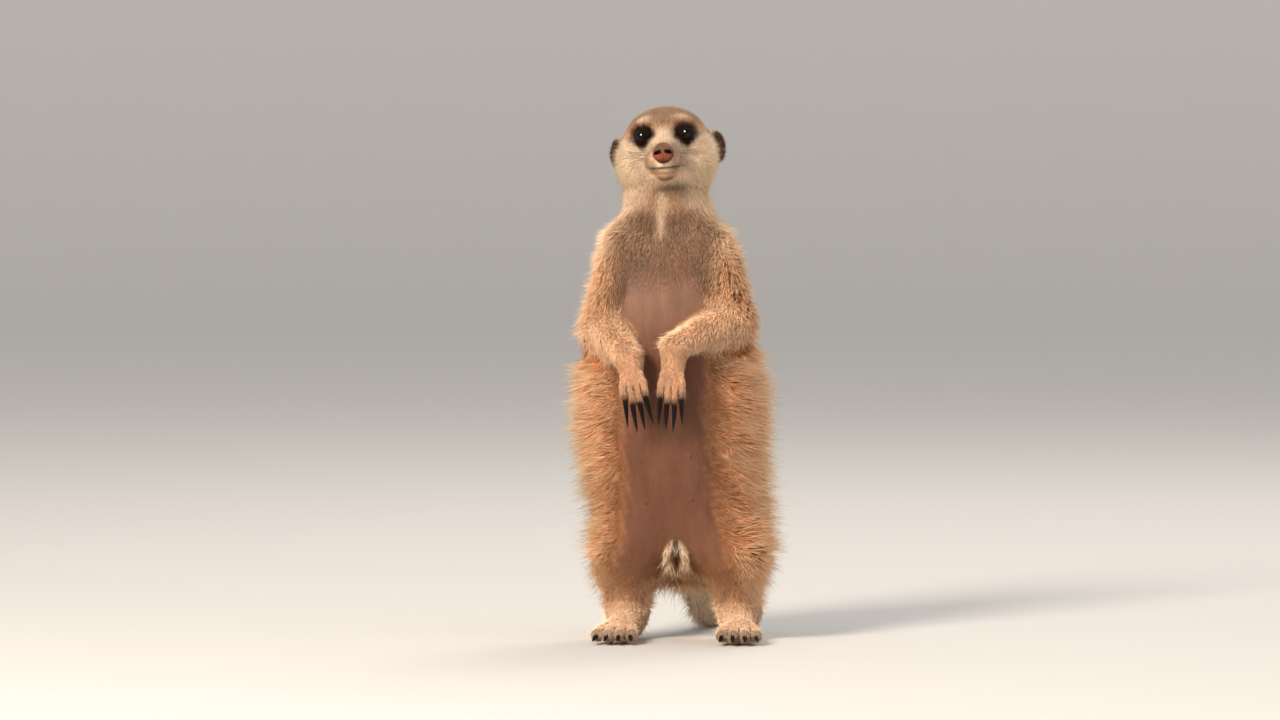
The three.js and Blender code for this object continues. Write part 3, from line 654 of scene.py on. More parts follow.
def skinMesh():
    grid = vdb.FloatGrid(8.0)
    grid.copyFromArray(np.clip(field, -8, 8), ijk=tuple(map(int, fieldLow)))
    points, quads = grid.convertToQuads()
    mesh = bpy.data.meshes.new("skin")
    mesh.from_pydata(points.tolist(), [], quads.tolist())
    shape = bmesh.new()
    shape.from_mesh(mesh)
    refine(shape, (wantsHalf, wantsQuarter))
    shape.to_mesh(mesh)
    shape.free()
    mesh.polygons.foreach_set("use_smooth", [True] * len(mesh.polygons))
    return mesh


def pointsOf(mesh):
    points = np.empty(len(mesh.vertices) * 3, np.float32)
    mesh.vertices.foreach_get("co", points)
    return points.reshape(-1, 3).astype(float)


def cornersOf(mesh):
    mesh.calc_loop_triangles()
    corners = np.empty(len(mesh.loop_triangles) * 3, np.int32)
    mesh.loop_triangles.foreach_get("vertices", corners)
    return corners.reshape(-1, 3)


def normalsOf(points, corners):
    a, b, c = (points[corners[:, k]] for k in range(3))
    facing = np.cross(b - a, c - a)
    total = np.stack([sum(np.bincount(corners[:, k], facing[:, axis], len(points)) for k in range(3))
                      for axis in range(3)], axis=1)
    return unit(total)


def settled(points):
    for _ in range(3):  # onto the field's own surface
        slope = slopeOf((field, fieldLow), points)
        gap = sampled((field, fieldLow), points)
        move = -slope * (gap / np.maximum((slope ** 2).sum(axis=1), 0.3))[:, None]
        points = points + np.clip(move, -0.4, 0.4)
    return points


def withEyes(points):
    for side, centre in eyeCentres.items():
        reach, above = eyeReach(points, side)
        away = points - centre
        far = gapTo(points, centre)
        rim = eyeRadius + eyeOpening["lid"]
        outside = mix(rim, np.maximum(far, rim * 0.7), smooth(1.15, eyeOpening["reach"], reach) ** 0.8)
        crease = 0.35 * bell(reach - 1.75, 0.14) * (above > 0) + 0.22 * bell(reach - 1.6, 0.12) * (above < 0)
        new = mix(outside - crease, eyeRadius - eyeOpening["sunk"], smooth(1.13, 0.97, reach))
        near = (reach < eyeOpening["reach"]) & (far < eyeRadius * 3.2)
        points = np.where(near[:, None], centre + away * (new / np.maximum(far, 0.1))[:, None], points)
    return points


def mouthLevel(u):
    return mouth["level"] + mouth["rise"] * u ** 2


# Forms round the mouth, each with its height or depth, its place and its width
muzzleForm = dict(
    cleft=dict(depth=0.5, width=0.5, top=(-10, -12)),
    pads=dict(height=1.6, out=7.5, wide=3.4, level=-14, high=3.6),
    fold=dict(height=-0.9, level=-28.6, high=1.7, half=(14, 7), ahead=(0, 6)),
    chin=dict(height=1.7, level=-24.2, high=2.8, half=(13, 6), ahead=(4, 14)),
    byNose=dict(height=0.5, reach=7.5, wide=2.6),
)


def withMouth(points, normals):
    u, v, w = onFace(points).T
    side, off = np.abs(u), v - mouthLevel(u)
    length = smooth(mouth["halfLength"], mouth["halfLength"] * 0.45, side)
    groove = -mouth["depth"] * bell(off, mouth["width"])
    lips = mouth["lip"] * (bell(off - 1.3, 0.8) + 1.5 * bell(off + 1.8, 1.2))
    part = muzzleForm["cleft"]
    cleft = -part["depth"] * bell(u, part["width"]) * smooth(mouth["level"], mouth["level"] + 1, v)
    cleft = cleft * smooth(*part["top"], v)
    part = muzzleForm["pads"]
    pads = part["height"] * bell(side - part["out"], part["wide"]) * bell(v - part["level"], part["high"])
    part = muzzleForm["byNose"]
    collar = part["height"] * bell(gapTo(points, noseMiddle) - part["reach"], part["wide"])
    height = ((groove + lips) * length + cleft + pads) * smooth(2, 8, w)
    height = height + collar * smooth(0.5, -2.5, w - noseOnFace[2])
    for name in ("fold", "chin"):
        part = muzzleForm[name]
        swell = part["height"] * bell(v - part["level"], part["high"]) * smooth(*part["half"], side)
        height = height + swell * smooth(*part["ahead"], w)
    return points + normals * height[:, None]


def facingFront(normals):
    return smooth(0.2, 0.7, -normals[:, 1])


def onMound(points, normals):
    return points[:, 0] - mound["x"], points[:, 2] - mound["z"], facingFront(normals)


teats = dict(heights=(80, 104, 131), out=13.5, radius=1.15, rise=0.7)


def withTeats(points, normals):
    off = offSpine(points) - belly["shift"]
    height = np.zeros(len(points))
    for z in teats["heights"]:
        for side in sides.values():
            gap = np.hypot(off - side * (teats["out"] + 0.8 * math.sin(z)), points[:, 2] - z - side)
            height += teats["rise"] * bell(gap, teats["radius"]) - 0.2 * bell(gap - 2, 0.8)
    return points + normals * (height * facingFront(normals))[:, None]


def withMound(points, normals):
    across, along, front = onMound(points, normals)
    swell = bell(across, mound["across"]) * bell(along + 3, mound["along"])
    length = np.exp(-(along / mound["slitAlong"]) ** 4)
    slit = bell(across, mound["slitAcross"]) * length
    lips = bell(np.abs(across) - 1.9, 0.9) * length
    height = (mound["height"] * swell - mound["slitDepth"] * slit + 0.5 * lips) * front
    return points + normals * height[:, None]


skin = skinMesh()
skinCorners = cornersOf(skin)
skinPoints = withEyes(settled(pointsOf(skin)))
skinPoints = withMouth(skinPoints, normalsOf(skinPoints, skinCorners))
skinPoints = withMound(skinPoints, normalsOf(skinPoints, skinCorners))
skinPoints = withTeats(skinPoints, normalsOf(skinPoints, skinCorners))
skinNormals = normalsOf(skinPoints, skinCorners)
skin.vertices.foreach_set("co", (skinPoints * mm).astype(np.float32).ravel())
print("the skin is made:", len(skinPoints), "points")


# The lie of the coat: which way a tuft points, before it is laid along the skin

flow = {"upper_arm": "forearm", "forearm": "hand"}
goesRound = dict(neck=0.12, chest=0.45, belly=1.0, rump=0.9, thigh=1.0, shank=0.8)  # how much it goes round


def roundTheBody(points):
    out = points[:, :2] - spineAt(points[:, 2])
    out = out / np.maximum(np.linalg.norm(out, axis=1, keepdims=True), 1)
    side = np.tanh(offSpine(points) / 7)
    share = smooth(0.85, -0.2, out[:, 1]) * side
    return np.stack([-out[:, 1] * share, out[:, 0] * share, 0 * share], axis=1)


def lieOf(points, normals, weights):
    total = np.zeros_like(points)
    around = roundTheBody(points)
    nose = noseMiddle + faceWays[2] * 3
    tailWay = unit(middleOf("tail_tip") - middleOf("tail_middle"))
    down = np.array([0, 0, -1.0])
    fall = mix(0.55, 0.9, smooth(85, 35, points[:, 2]))[:, None]
    for node, weight in weights.items():
        kind = kindOf[node]
        if kind in ("head", "lower_jaw"):
            way = unit(points - nose) + 0.12 * down
        elif kind == "ear":
            way = 0.3 * unit(points - middleOf(node)) + np.array([0, 0.8, -0.35])
        elif kind in flow:
            way = unit(middleOf(node.replace(kind, flow[kind])) - middleOf(node)) + 0.15 * down
        elif kind in ("hand", "foot"):
            end, side = ("front" if kind == "hand" else "hind"), node.split("_")[1]
            way = claws[f"{end}_claw_{side}_2"][2]
        elif kind == "tail_base":
            way = unit(middleOf("tail_middle") - middleOf("tail_base")) + 0.3 * down
        elif kind in ("tail_middle", "tail_tip"):
            way = tailWay
        elif kind in ("neck", "chest"):
            way = 0.8 * down + goesRound[kind] * around
        else:
            way = fall * down + goesRound[kind] * around
        total += weight[:, None] * way
    across, along, front = onMound(points, normals)
    near = front * bell(across, 9) * bell(along, 13)
    fromSlit = np.stack([across, 0 * across, along - 12], axis=1)
    total = mix(total, unit(fromSlit), near[:, None])
    total -= normals * (total * normals).sum(axis=1, keepdims=True)
    return unit(total)


# The markings and the painted shade, which the skin and the tufts share: each is a share from 0 to 1 at a
# place

markings = ("bare", "pale", "rust", "grizzle", "ash", "flush", "dark")
eyePatch = dict(wide=7.3, high=5.7, low=8.4, narrowing=0.5, soft=0.26)
browSpot = dict(across=11.5, above=8.8, wide=4.4, high=2.0)
backBands = dict(low=(45, 62), high=(200, 178), apart=11.5)
chin = dict(top=-23.0, bottom=-26.6, half=10.5, fold=-29.2)
chestStreak = dict(left=2.5, wide=2.6, low=(222, 232), high=(256, 246))
greyBreast = dict(top=(247, 238), lobeOut=12, lobe=0.035, half=(36, 22), low=(140, 200))
moundRing = dict(wide=1.15, high=1.7, inner=(2.2, 3.2), outer=(6.6, 4.6))
# How strong a tone is on each part of the body by itself
ownTones = dict(
    pale=dict(forearm=0.42, hand=0.35, foot=0.7, tail_base=0.3, tail_middle=0.3),
    rust=dict(upper_arm=1.0, hand=0.5, tail_base=0.12),
    grizzle=dict(upper_arm=0.35, tail_base=0.75, tail_middle=0.75, tail_tip=0.75),
)


def eyePatches(side, v, u):
    eyeOut, up = side - eyeOnFace[0], v
    wide = eyePatch["wide"] * (1 - eyePatch["narrowing"] * smooth(0, -eyePatch["low"], up))
    ring = np.sqrt((eyeOut / wide) ** 2 + (up / np.where(up > 0, eyePatch["high"], eyePatch["low"])) ** 2)
    ring = ring + 0.06 * np.sin(np.arctan2(up, eyeOut) * 5 + u)
    return smooth(1 + eyePatch["soft"], 1 - eyePatch["soft"], ring)


# painted shade between the digits, where two claws' lines lie about equally near
def shadeBetweenDigits(points):
    gaps = []
    for root, _, axis, _ in claws.values():
        along = (points - root) @ axis
        away = np.linalg.norm(points - root - along[:, None] * axis, axis=1)
        gaps.append(np.where((along > -10) & (along < 2), away, 99))
    nearest = np.sort(np.array(gaps), axis=0)[:2]
    return smooth(0.75, 0.15, nearest[1] - nearest[0]) * (nearest[0] < 4)


def whiskerShadowRows(v, w, side):  # painted shadows of the whiskers: fine dark rows fanning out over the whisker bed
    turn, out = np.arctan2(v + 11.5, side), np.hypot(side, v + 11.5)
    rows = smooth(0.35, 0.95, np.sin(turn * 21 + 0.12 * out + 0.4 * np.sin(out * 0.7)))
    rows = rows * mix(0.3, 1, smooth(-0.3, 0.7, np.sin(out * 2.2 + turn * 9)))
    rows = rows * smooth(6.5, 9.5, out) * smooth(27, 15, out)
    return rows * smooth(0.75, 0.45, np.abs(turn)) * smooth(-6, 6, w)


def faceMarksAndShade(points, head):
    u, v, w = onFace(points).T
    side = np.abs(u)
    toNose = gapTo(points, noseMiddle)
    eyes = eyePatches(side, v, u) * smooth(-8, 0, w) * head
    for name in sides:
        eyes = np.maximum(eyes, smooth(1.45, 1.3, eyeReach(points, name)[0]))
    brows = bell(side - browSpot["across"], browSpot["wide"]) * bell(v - browSpot["above"], browSpot["high"])
    bridge = smooth(7.5, 4.0, side) * smooth(6, -1, v)
    cheeks = smooth(5, -4, v + 0.18 * np.maximum(side - 14, 0)) * smooth(-34, -18, w)
    pale = np.maximum(np.maximum(cheeks, bridge), 0.8 * brows * smooth(-10, -3, w)) * head
    # grey-brown on the muzzle's sides: partly grey fur, partly painted shade beside the whisker pads
    muzzle = smooth(19, 9.5, toNose) * smooth(2.5, 5.5, side) * smooth(2, -5, v) * head
    noseTop = smooth(17, 8, toNose) * smooth(0, 3, v - noseOnFace[1]) * smooth(7.5, 3, side) * head
    jaw = smooth(-18.5, -20.5, v) * smooth(14, 8, side) * smooth(0, 6, w) * head
    # painted shade at the corners of the mouth, joined below to the painted whisker shadows
    corners = bell(side - 10, 3.2) * bell(v - mouth["level"] - 1, 2.0) * smooth(0, 6, w)
    chinBand = smooth(chin["top"] + 1, chin["top"] - 1.6, v) * smooth(chin["bottom"] - 3, chin["bottom"], v)
    chinBand = chinBand * smooth(chin["half"] + 2.5, chin["half"] - 1.5, side) * smooth(0, 8, w) * head
    # dark hair under the chin, with painted shade of the crease there
    fold = bell(v - chin["fold"], 1.5) * smooth(12.5, 6, np.abs(u - 2)) * smooth(-8, 0, w)
    rows = np.maximum(whiskerShadowRows(v, w, side), corners) * head
    lips = bell(v - mouthLevel(u), 0.75) * smooth(15, 9, side) * smooth(2, 7, w) * head
    crown = head * smooth(-1, 5, v - 0.12 * side) * (1 - pale)
    return dict(eyes=eyes, rows=rows, jaw=jaw, pale=pale, muzzle=muzzle, noseTop=noseTop, chin=chinBand,
                fold=fold, lips=lips, crown=crown)


def moundMarks(points, normals):
    across, along, ahead = onMound(points, normals)
    ring = np.hypot(across / moundRing["wide"], (along + 2) / moundRing["high"])
    tufts = ahead * smooth(*moundRing["inner"], ring) * smooth(*moundRing["outer"], ring)
    tufts = np.maximum(tufts, ahead * smooth(-8, -12, along) * smooth(11, 7, np.abs(across)))
    return tufts, ahead * smooth(2.0, 1.0, np.abs(across)) * smooth(9.5, 7, np.abs(along))


def bandsAcross(points):
    x, z = points[:, 0], points[:, 2]
    wave = 2 * np.pi * z / backBands["apart"] + 0.5 * np.sin(x * 0.16) + 0.7 * np.sin(x * 0.05 + z * 0.1)
    bands = smooth(0.5, 0.9, 0.5 + 0.5 * np.sin(wave))
    return bands * smooth(*backBands["high"], z) * smooth(*backBands["low"], z)


def chestMarks(points, normals, kinds):
    off, z, front = offSpine(points), points[:, 2], facingFront(normals)
    streak = bell(off + chestStreak["left"], chestStreak["wide"]) * front
    streak = streak * smooth(*chestStreak["low"], z) * smooth(*chestStreak["high"], z)
    throat = kinds["neck"] * smooth(14, 6, np.abs(off)) * front
    edge = greyBreast["lobe"] * (np.abs(off + 1) - greyBreast["lobeOut"]) ** 2
    breast = (kinds["chest"] + kinds["neck"] + kinds["upper_arm"]) * smooth(*greyBreast["top"], z + edge)
    breast = breast * smooth(-0.05, 0.35, -normals[:, 1]) * smooth(*greyBreast["half"], np.abs(off + 1))
    return streak, throat, breast * smooth(*greyBreast["low"], z)


def marksAndShadeAt(points, normals, weights):
    kinds = {kind: kindShare(weights, (kind,)) for kind in regions}
    tones = {}
    for tone, parts in ownTones.items():
        tones[tone] = sum(amount * kinds[kind] for kind, amount in parts.items())
    head = kinds["head"] + kinds["lower_jaw"]
    trunk = kinds["chest"] + kinds["belly"] + kinds["rump"]
    height, back = points[:, 2], smooth(0.0, 0.75, normals[:, 1])
    face = faceMarksAndShade(points, head)
    tufts, slit = moundMarks(points, normals)
    streak, throat, breast = chestMarks(points, normals, kinds)
    bare = bareness(points, normals) * kindShare(weights, canBeBare)
    thin = np.maximum(bare * (1 - 0.9 * tufts), 0.75 * face["chin"])
    earRim = smooth(0.45, 0.9, -normals[:, 1] * 0.5 + normals[:, 2] * 0.75)
    pale = face["pale"] * (1 - 0.7 * face["muzzle"]) * (1 - 0.75 * face["noseTop"]) * (1 - 0.6 * face["jaw"])
    pale = pale + kinds["neck"] * (1 - back) * (1 - 0.75 * throat)
    pale = pale + 0.6 * (kinds["chest"] + kinds["upper_arm"]) * smooth(205, 228, height) * (1 - back)
    pale = pale * (1 - breast) + 1.2 * streak + 0.9 * tufts + 0.85 * kinds["ear"] * earRim
    tones["pale"] = tones["pale"] + pale + 0.4 * kinds["shank"] * smooth(42, 16, height)
    rust = (kinds["belly"] + kinds["rump"] + kinds["thigh"]) * (1 - back) * smooth(20, 60, height)
    rust = rust * (0.3 + 0.7 * besideBelly(points, normals)) + 0.4 * kinds["chest"] * (1 - back)
    # the forearms are rust all round; the extra rust on their undersides is painted shade
    rust = rust + (0.5 + 0.4 * smooth(0.1, -0.7, normals[:, 2])) * kinds["forearm"]
    tones["rust"] = tones["rust"] + rust
    grizzle = 0.9 * face["crown"] + back * (trunk + kinds["neck"] + 0.6 * kinds["thigh"]) + 0.5 * throat
    grizzle = grizzle + 0.8 * face["muzzle"] + 0.9 * face["noseTop"] + 0.4 * face["jaw"]
    tones["grizzle"] = tones["grizzle"] + grizzle
    tones.update(bare=bare * (1 - tufts), ash=0.9 * breast * (1 - streak), flush=0.9 * face["chin"])
    tailEnd = boxOf("tail_tip")[0][1]
    tail = (kinds["tail_middle"] + kinds["tail_tip"]) * smooth(tailEnd - 22, tailEnd - 4, points[:, 1])
    bands = bandsAcross(points) * back * trunk
    earFoot = smooth(4.2, 1.6, nearEars(points)) * smooth(0.1, -0.3, normals[:, 1]) * head
    clawFoot = smooth(5.0, 1.0, nearDigits(points))
    # painted shade in the dark tone: between the digits, at the mouth's corners, in the whisker rows, and
    # with dark hair in the crease under the chin
    tones["dark"] = np.maximum.reduce([
        face["eyes"], face["lips"], tail, shadeBetweenDigits(points), 0.8 * bands, 0.75 * clawFoot, 0.75 * slit,
        0.86 * kinds["ear"] * (1 - 0.75 * earRim), 0.85 * earFoot, 0.9 * face["fold"], 0.26 * face["rows"]])
    return {tone: np.clip(tones[tone], 0, 1) for tone in markings}, kinds, thin, tufts


skinWeights = regionWeights(skinPoints)
skinLie = lieOf(skinPoints, skinNormals, skinWeights)
skinMarks, skinKinds, skinThin, moundTufts = marksAndShadeAt(skinPoints, skinNormals, skinWeights)
print("the markings and the lie of the coat are known")


# The skin's and the coat's materials

skinLook = dict(roughness=0.62, specular=0.14, bump=0.6, bumpDepth=0.0006)
coatLook = dict(roughness=0.6, specular=0.1)
shades = dict(tan="#d69a6c", bare="#684637", ash="#856a5b", pale="#ffe8cd", rust="#d38650", grizzle="#9c7a60",
              flush="#7a5242", dark="#2e1810", darkSkin="#120906", tip="#fddfb8", deep="#755038")


def markedColour(tree):
    patches = spreadBetween(tree, noise(tree, 60), 0.3, 0.7, 0.82, 1.12)
    colour = blended(tree, linear(shades["tan"]), linear(shades["rust"]), attribute(tree, "rust"))
    for name in ("grizzle", "pale", "bare", "ash", "flush"):
        share = attribute(tree, name)
        if name in ("grizzle", "pale", "ash"):
            share = reckoned(tree, "MULTIPLY", share, patches)
        colour = blended(tree, colour, linear(shades[name]), share)
    return colour


def finishColour(tree, shader, colour, value, dark):
    colour = blended(tree, colour, linear(shades[dark]), attribute(tree, "dark"))
    hue = tree.nodes.new("ShaderNodeHueSaturation")
    tree.links.new(value, hue.inputs["Value"])
    tree.links.new(colour, hue.inputs["Color"])
    tree.links.new(hue.outputs[0], shader.inputs["Base Color"])


def skinMaterial():
    material, tree, shader = newMaterial("skin", skinLook)
    fine = noise(tree, 1300, 4, (1, 1, 0.3))
    deep = spreadBetween(tree, fine, 0.35, 0.65, 0.34, 0.0)
    colour = blended(tree, markedColour(tree), linear(shades["deep"]), deep)
    large = spreadBetween(tree, noise(tree, 38, 3, (1, 1, 0.6)), 0.32, 0.68, 0.36, 0.58)
    small = spreadBetween(tree, noise(tree, 170, 3, (1, 1, 0.22)), 0.35, 0.65, 0.42, 0.60)
    finishColour(tree, shader, colour, reckoned(tree, "ADD", large, small), "darkSkin")
    bumped(tree, shader, fine, skinLook["bump"], skinLook["bumpDepth"])
    return material


def coatMaterial():
    material, tree, shader = newMaterial("coat", coatLook)
    along, chance, frost = (attribute(tree, name) for name in ("along", "chance", "frost"))
    root = spreadBetween(tree, along, 0.0, 0.42, 0.62, 0.0)
    root = reckoned(tree, "MULTIPLY", root, spreadBetween(tree, attribute(tree, "bare"), 0, 1, 1.0, 0.1))
    colour = blended(tree, markedColour(tree), linear(shades["deep"]), root)
    tip = reckoned(tree, "MULTIPLY", spreadBetween(tree, along, 0.32, 0.85), frost)
    colour = blended(tree, colour, linear(shades["tip"]), tip)
    each = spreadBetween(tree, chance, 0, 1, 0.30, 0.78)
    patches = spreadBetween(tree, noise(tree, 85, 2), 0.35, 0.65, 0.46, 0.60)
    finishColour(tree, shader, colour, reckoned(tree, "ADD", each, patches), "dark")
    return material


def setMarks(mesh, values):
    for name, value in values.items():
        layer = mesh.attributes.new(name, "FLOAT", "POINT")
        layer.data.foreach_set("value", np.ascontiguousarray(value, np.float32))


def placed(name, mesh, replaces=()):
    piece = bpy.data.objects.new(name, mesh)
    bpy.context.scene.collection.objects.link(piece)
    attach(piece, "root")
    if replaces:
        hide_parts(*replaces)
    return piece


setMarks(skin, skinMarks)
skin.materials.append(skinMaterial())
placed("skin", skin, fleshNodes)
coatFinish = coatMaterial()


# An unwrap of the skin's own shape, on a coarse copy of it: it says where each tuft's colour is kept

unwrap = dict(step=4, patch=0.003, angle=66, gap=0.004)


def skinUnwrap():
    step = unwrap["step"]
    values = blurred(field, 1.5)[::step, ::step, ::step]
    grid = vdb.FloatGrid(8.0)
    grid.copyFromArray(np.ascontiguousarray(np.clip(values, -8, 8)))
    points, quads = grid.convertToQuads()
    mesh = bpy.data.meshes.new("unwrap")
    mesh.from_pydata((points * step + fieldLow).tolist(), [], quads.tolist())
    form = bpy.data.objects.new("unwrap", mesh)
    bpy.context.scene.collection.objects.link(form)
    bpy.context.view_layer.objects.active = form
    form.select_set(True)
    bpy.ops.object.mode_set(mode="EDIT")
    bpy.ops.mesh.select_all(action="SELECT")
    bpy.ops.mesh.quads_convert_to_tris()
    bpy.ops.uv.smart_project(angle_limit=math.radians(unwrap["angle"]), island_margin=unwrap["gap"])
    bpy.ops.object.mode_set(mode="OBJECT")
    places = np.empty(len(mesh.loops) * 2, np.float32)
    mesh.uv_layers.active.data.foreach_get("uv", places)
    faces = cornersOf(mesh)
    loops = np.empty(len(mesh.loop_triangles) * 3, np.int32)
    mesh.loop_triangles.foreach_get("loops", loops)
    result = pointsOf(mesh), faces, places.reshape(-1, 2)[loops.reshape(-1, 3)]
    bpy.data.objects.remove(form)
    bpy.data.meshes.remove(mesh)
    return result


wrapPoints, wrapFaces, wrapPlaces = skinUnwrap()
wrapTree = BVHTree.FromPolygons(wrapPoints.tolist(), wrapFaces.tolist())
print("the skin is unwrapped:", len(wrapFaces), "faces")


def placesOnUnwrap(points):
    found = np.array([wrapTree.find_nearest(p)[2] for p in points.tolist()])
    a, b, c = (wrapPoints[wrapFaces[found, k]] for k in range(3))
    ab, ac, ap = b - a, c - a, points - a
    d00, d01, d11 = (ab * ab).sum(1), (ab * ac).sum(1), (ac * ac).sum(1)
    d20, d21 = (ap * ab).sum(1), (ap * ac).sum(1)
    scale = np.maximum(d00 * d11 - d01 * d01, 1e-9)
    v, w = (d11 * d20 - d01 * d21) / scale, (d00 * d21 - d01 * d20) / scale
    shares = np.clip(np.stack([1 - v - w, v, w], axis=1), 0, 1)
    shares /= shares.sum(axis=1, keepdims=True)
    return (wrapPlaces[found] * shares[:, :, None]).sum(axis=1)


# Tufts. A short one is a plain spike of four faces, a longer one is bent in the middle and has ten.

tuft = dict(rooted=0.5, shortUnder=3.6, clump=0.6, clumpReach=5, seedEvery=13, sway=14, liftSpread=8,
            lengthSpread=0.16, widthSpread=(0.8, 1.25), knee=0.45, kneeSize=0.62,
            guards=0.4, guardLength=1.38, guardWidth=0.85, guardLift=11, reach=66.5)
# How much the coat's length, lift, width and crowding grow in each zone, 0.5 is by a half
coatZones = dict(
    cheek=dict(length=0.95),
    byNose=dict(length=-0.55),
    byEye=dict(length=-0.58),
    breast=dict(length=-0.56, lift=-0.4),
    throat=dict(length=-0.4),
    breastOrThroat=dict(width=-0.35, crowd=0.6),
    beside=dict(length=-0.62, lift=-0.35, width=-0.3),
    besideFurred=dict(crowd=0.5),
    byEar=dict(length=-0.4),
    chin=dict(length=-0.6),
    mound=dict(length=-0.45),
    ankle=dict(length=-0.4),
    back=dict(lift=-0.28),
)
cheekLift = 4  # degrees more


def coatZonesHere(head, toNose, nearEye):
    u, v, w = onFace(skinPoints).T
    side, height, off = np.abs(u), skinPoints[:, 2], offSpine(skinPoints)
    front = facingFront(skinNormals)
    cheek = smooth(12, 22, side) * smooth(2, -8, v) * head
    breast = (skinKinds["chest"] + skinKinds["upper_arm"]) * smooth(246, 236, height) * front
    breast = breast * smooth(36, 24, np.abs(off + 1))
    throat = skinKinds["neck"] * front * smooth(22, 12, np.abs(off))
    beside = kindShare(skinWeights, canBeBare) * (1 - besideBelly(skinPoints, skinNormals))
    beside = beside * (1 - moundTufts) * smooth(214, 178, height)
    byEar = smooth(6, 2, nearEars(skinPoints)) * smooth(0.1, -0.3, skinNormals[:, 1]) * skinKinds["head"]
    chinZone = smooth(chin["top"] + 4, chin["top"] + 1, v) * smooth(chin["fold"] - 2.5, chin["fold"] - 0.5, v)
    hanging = smooth(mound["z"] - 3, mound["z"] - 11, height)
    return dict(
        cheek=cheek,
        byNose=smooth(14, 6, toNose),
        byEye=smooth(2.4, 1.1, nearEye),
        breast=breast,
        throat=throat,
        breastOrThroat=np.maximum(breast, throat),
        beside=beside,
        besideFurred=beside * (1 - skinThin),
        byEar=byEar,
        chin=chinZone * smooth(13, 9, side) * smooth(-2, 5, w),
        mound=moundTufts * (1 - hanging),
        ankle=skinKinds["shank"] * smooth(45, 16, height) * (1 - skinThin),
        back=smooth(0.2, 0.9, skinNormals[:, 1]),
    )


def coatAmounts():
    values = {}
    for key in ("length", "lift", "width", "crowd"):
        values[key] = mix(regionValue(skinWeights, key), bareSkin[key], skinThin)
    toNose = gapTo(skinPoints, noseMiddle)
    nearEye = np.min([eyeReach(skinPoints, name)[0] for name in sides], axis=0)
    zones = coatZonesHere(skinKinds["head"] + skinKinds["lower_jaw"], toNose, nearEye)
    values["lift"] = values["lift"] + cheekLift * zones["cheek"]
    for zone, changes in coatZones.items():
        for key, growth in changes.items():
            values[key] = values[key] * (1 + growth * zones[zone])
    u, v, w = onFace(skinPoints).T
    groove = (np.abs(v - mouthLevel(u)) < 0.5) & (np.abs(u) < 9) & (w > 9)
    sole = (skinPoints[:, 2] < 0.9) & (skinNormals[:, 2] < -0.5)
    none = (nearEye < 1.1) | (toNose < 5.2) | groove | sole
    values["crowd"] = np.where(none, 0, values["crowd"])
    return values


def scattered(values):
    a, b, c = (skinPoints[skinCorners[:, k]] for k in range(3))
    area = np.linalg.norm(np.cross(b - a, c - a), axis=1) / 2
    crowd = values["crowd"][skinCorners].min(axis=1) * area
    reached = np.floor(np.cumsum(crowd) + random.random())
    count = np.diff(reached, prepend=0).astype(int)
    face = np.repeat(np.arange(len(count)), count)
    r1, r2 = random.random((2, len(face)))
    root = np.sqrt(r1)
    return face, np.stack([1 - root, root * (1 - r2), root * r2], axis=1)


def turned(vectors, axes, angles):
    cos, sin = np.cos(angles)[:, None], np.sin(angles)[:, None]
    return vectors * cos + np.cross(axes, vectors) * sin


def swayAt(place):
    x, y, z = place.T
    sway = 0.13 * np.sin(x * 0.9 + z * 0.35) + 0.13 * np.sin(z * 0.7 - y * 0.8 + 1)
    sway = sway + 0.1 * np.sin(x * 1.9 + y * 1.3) + 0.2 * np.sin(z * 0.19 + y * 0.27 + 2)
    return sway + 0.16 * np.sin(z * 0.37 - y * 0.13 + x * 0.1)


def grownTufts():
    values = coatAmounts()
    face, shares = scattered(values)
    corners = skinCorners[face]

    def at(array):
        return (array[corners] * shares.reshape(*shares.shape, *[1] * (array.ndim - 1))).sum(axis=1)

    roots = {name: at(value) for name, value in {**values, **skinMarks}.items()}
    count = len(face)
    place, normal, lie = at(skinPoints), unit(at(skinNormals)), at(skinLie)
    lie = unit(lie - normal * (lie * normal).sum(axis=1, keepdims=True))
    sway = swayAt(place) * mix(0.7, 1.25, smooth(4, 9, roots["length"]))
    sway = sway + random.normal(0, math.radians(tuft["sway"]), count)
    roots["lie"] = turned(lie, normal, sway)
    roots["lift"] = np.radians(np.clip(roots["lift"] + random.normal(0, tuft["liftSpread"], count), 5, 80))
    roots["length"] = roots["length"] * np.exp(random.normal(0, tuft["lengthSpread"], count))
    roots["width"] = roots["width"] * random.uniform(*tuft["widthSpread"], count)
    roots["place"], roots["normal"] = place, normal
    roots["chance"] = random.random(count)
    long = roots["length"] > tuft["shortUnder"]
    guard = long & (random.random(count) < tuft["guards"])
    roots["length"] = np.where(guard, roots["length"] * tuft["guardLength"], roots["length"])
    roots["width"] = np.where(guard, roots["width"] * tuft["guardWidth"], roots["width"])
    roots["lift"] = np.where(guard, roots["lift"] + math.radians(tuft["guardLift"]), roots["lift"])
    roots["bent"], roots["guard"] = long & ~guard, guard
    strongest = np.argmax(np.stack([weight[corners[:, 0]] for weight in skinWeights.values()]), axis=0)
    roots["node"] = np.array(list(skinWeights))[strongest]
    return roots


def frostOf(roots):
    trunk = np.isin([kindOf[n] for n in roots["node"]], (*canBeBare, "upper_arm"))
    frost = np.where(trunk, 0.64, 0.42) * (1 - roots["dark"])
    frost = frost * (1 - 0.75 * roots["bare"]) * (1 - 0.6 * roots["ash"])
    frost = frost * (0.45 + 0.9 * roots["chance"]) + 0.55 * roots["guard"] * (1 - roots["dark"])
    return np.clip(frost, 0, 1)


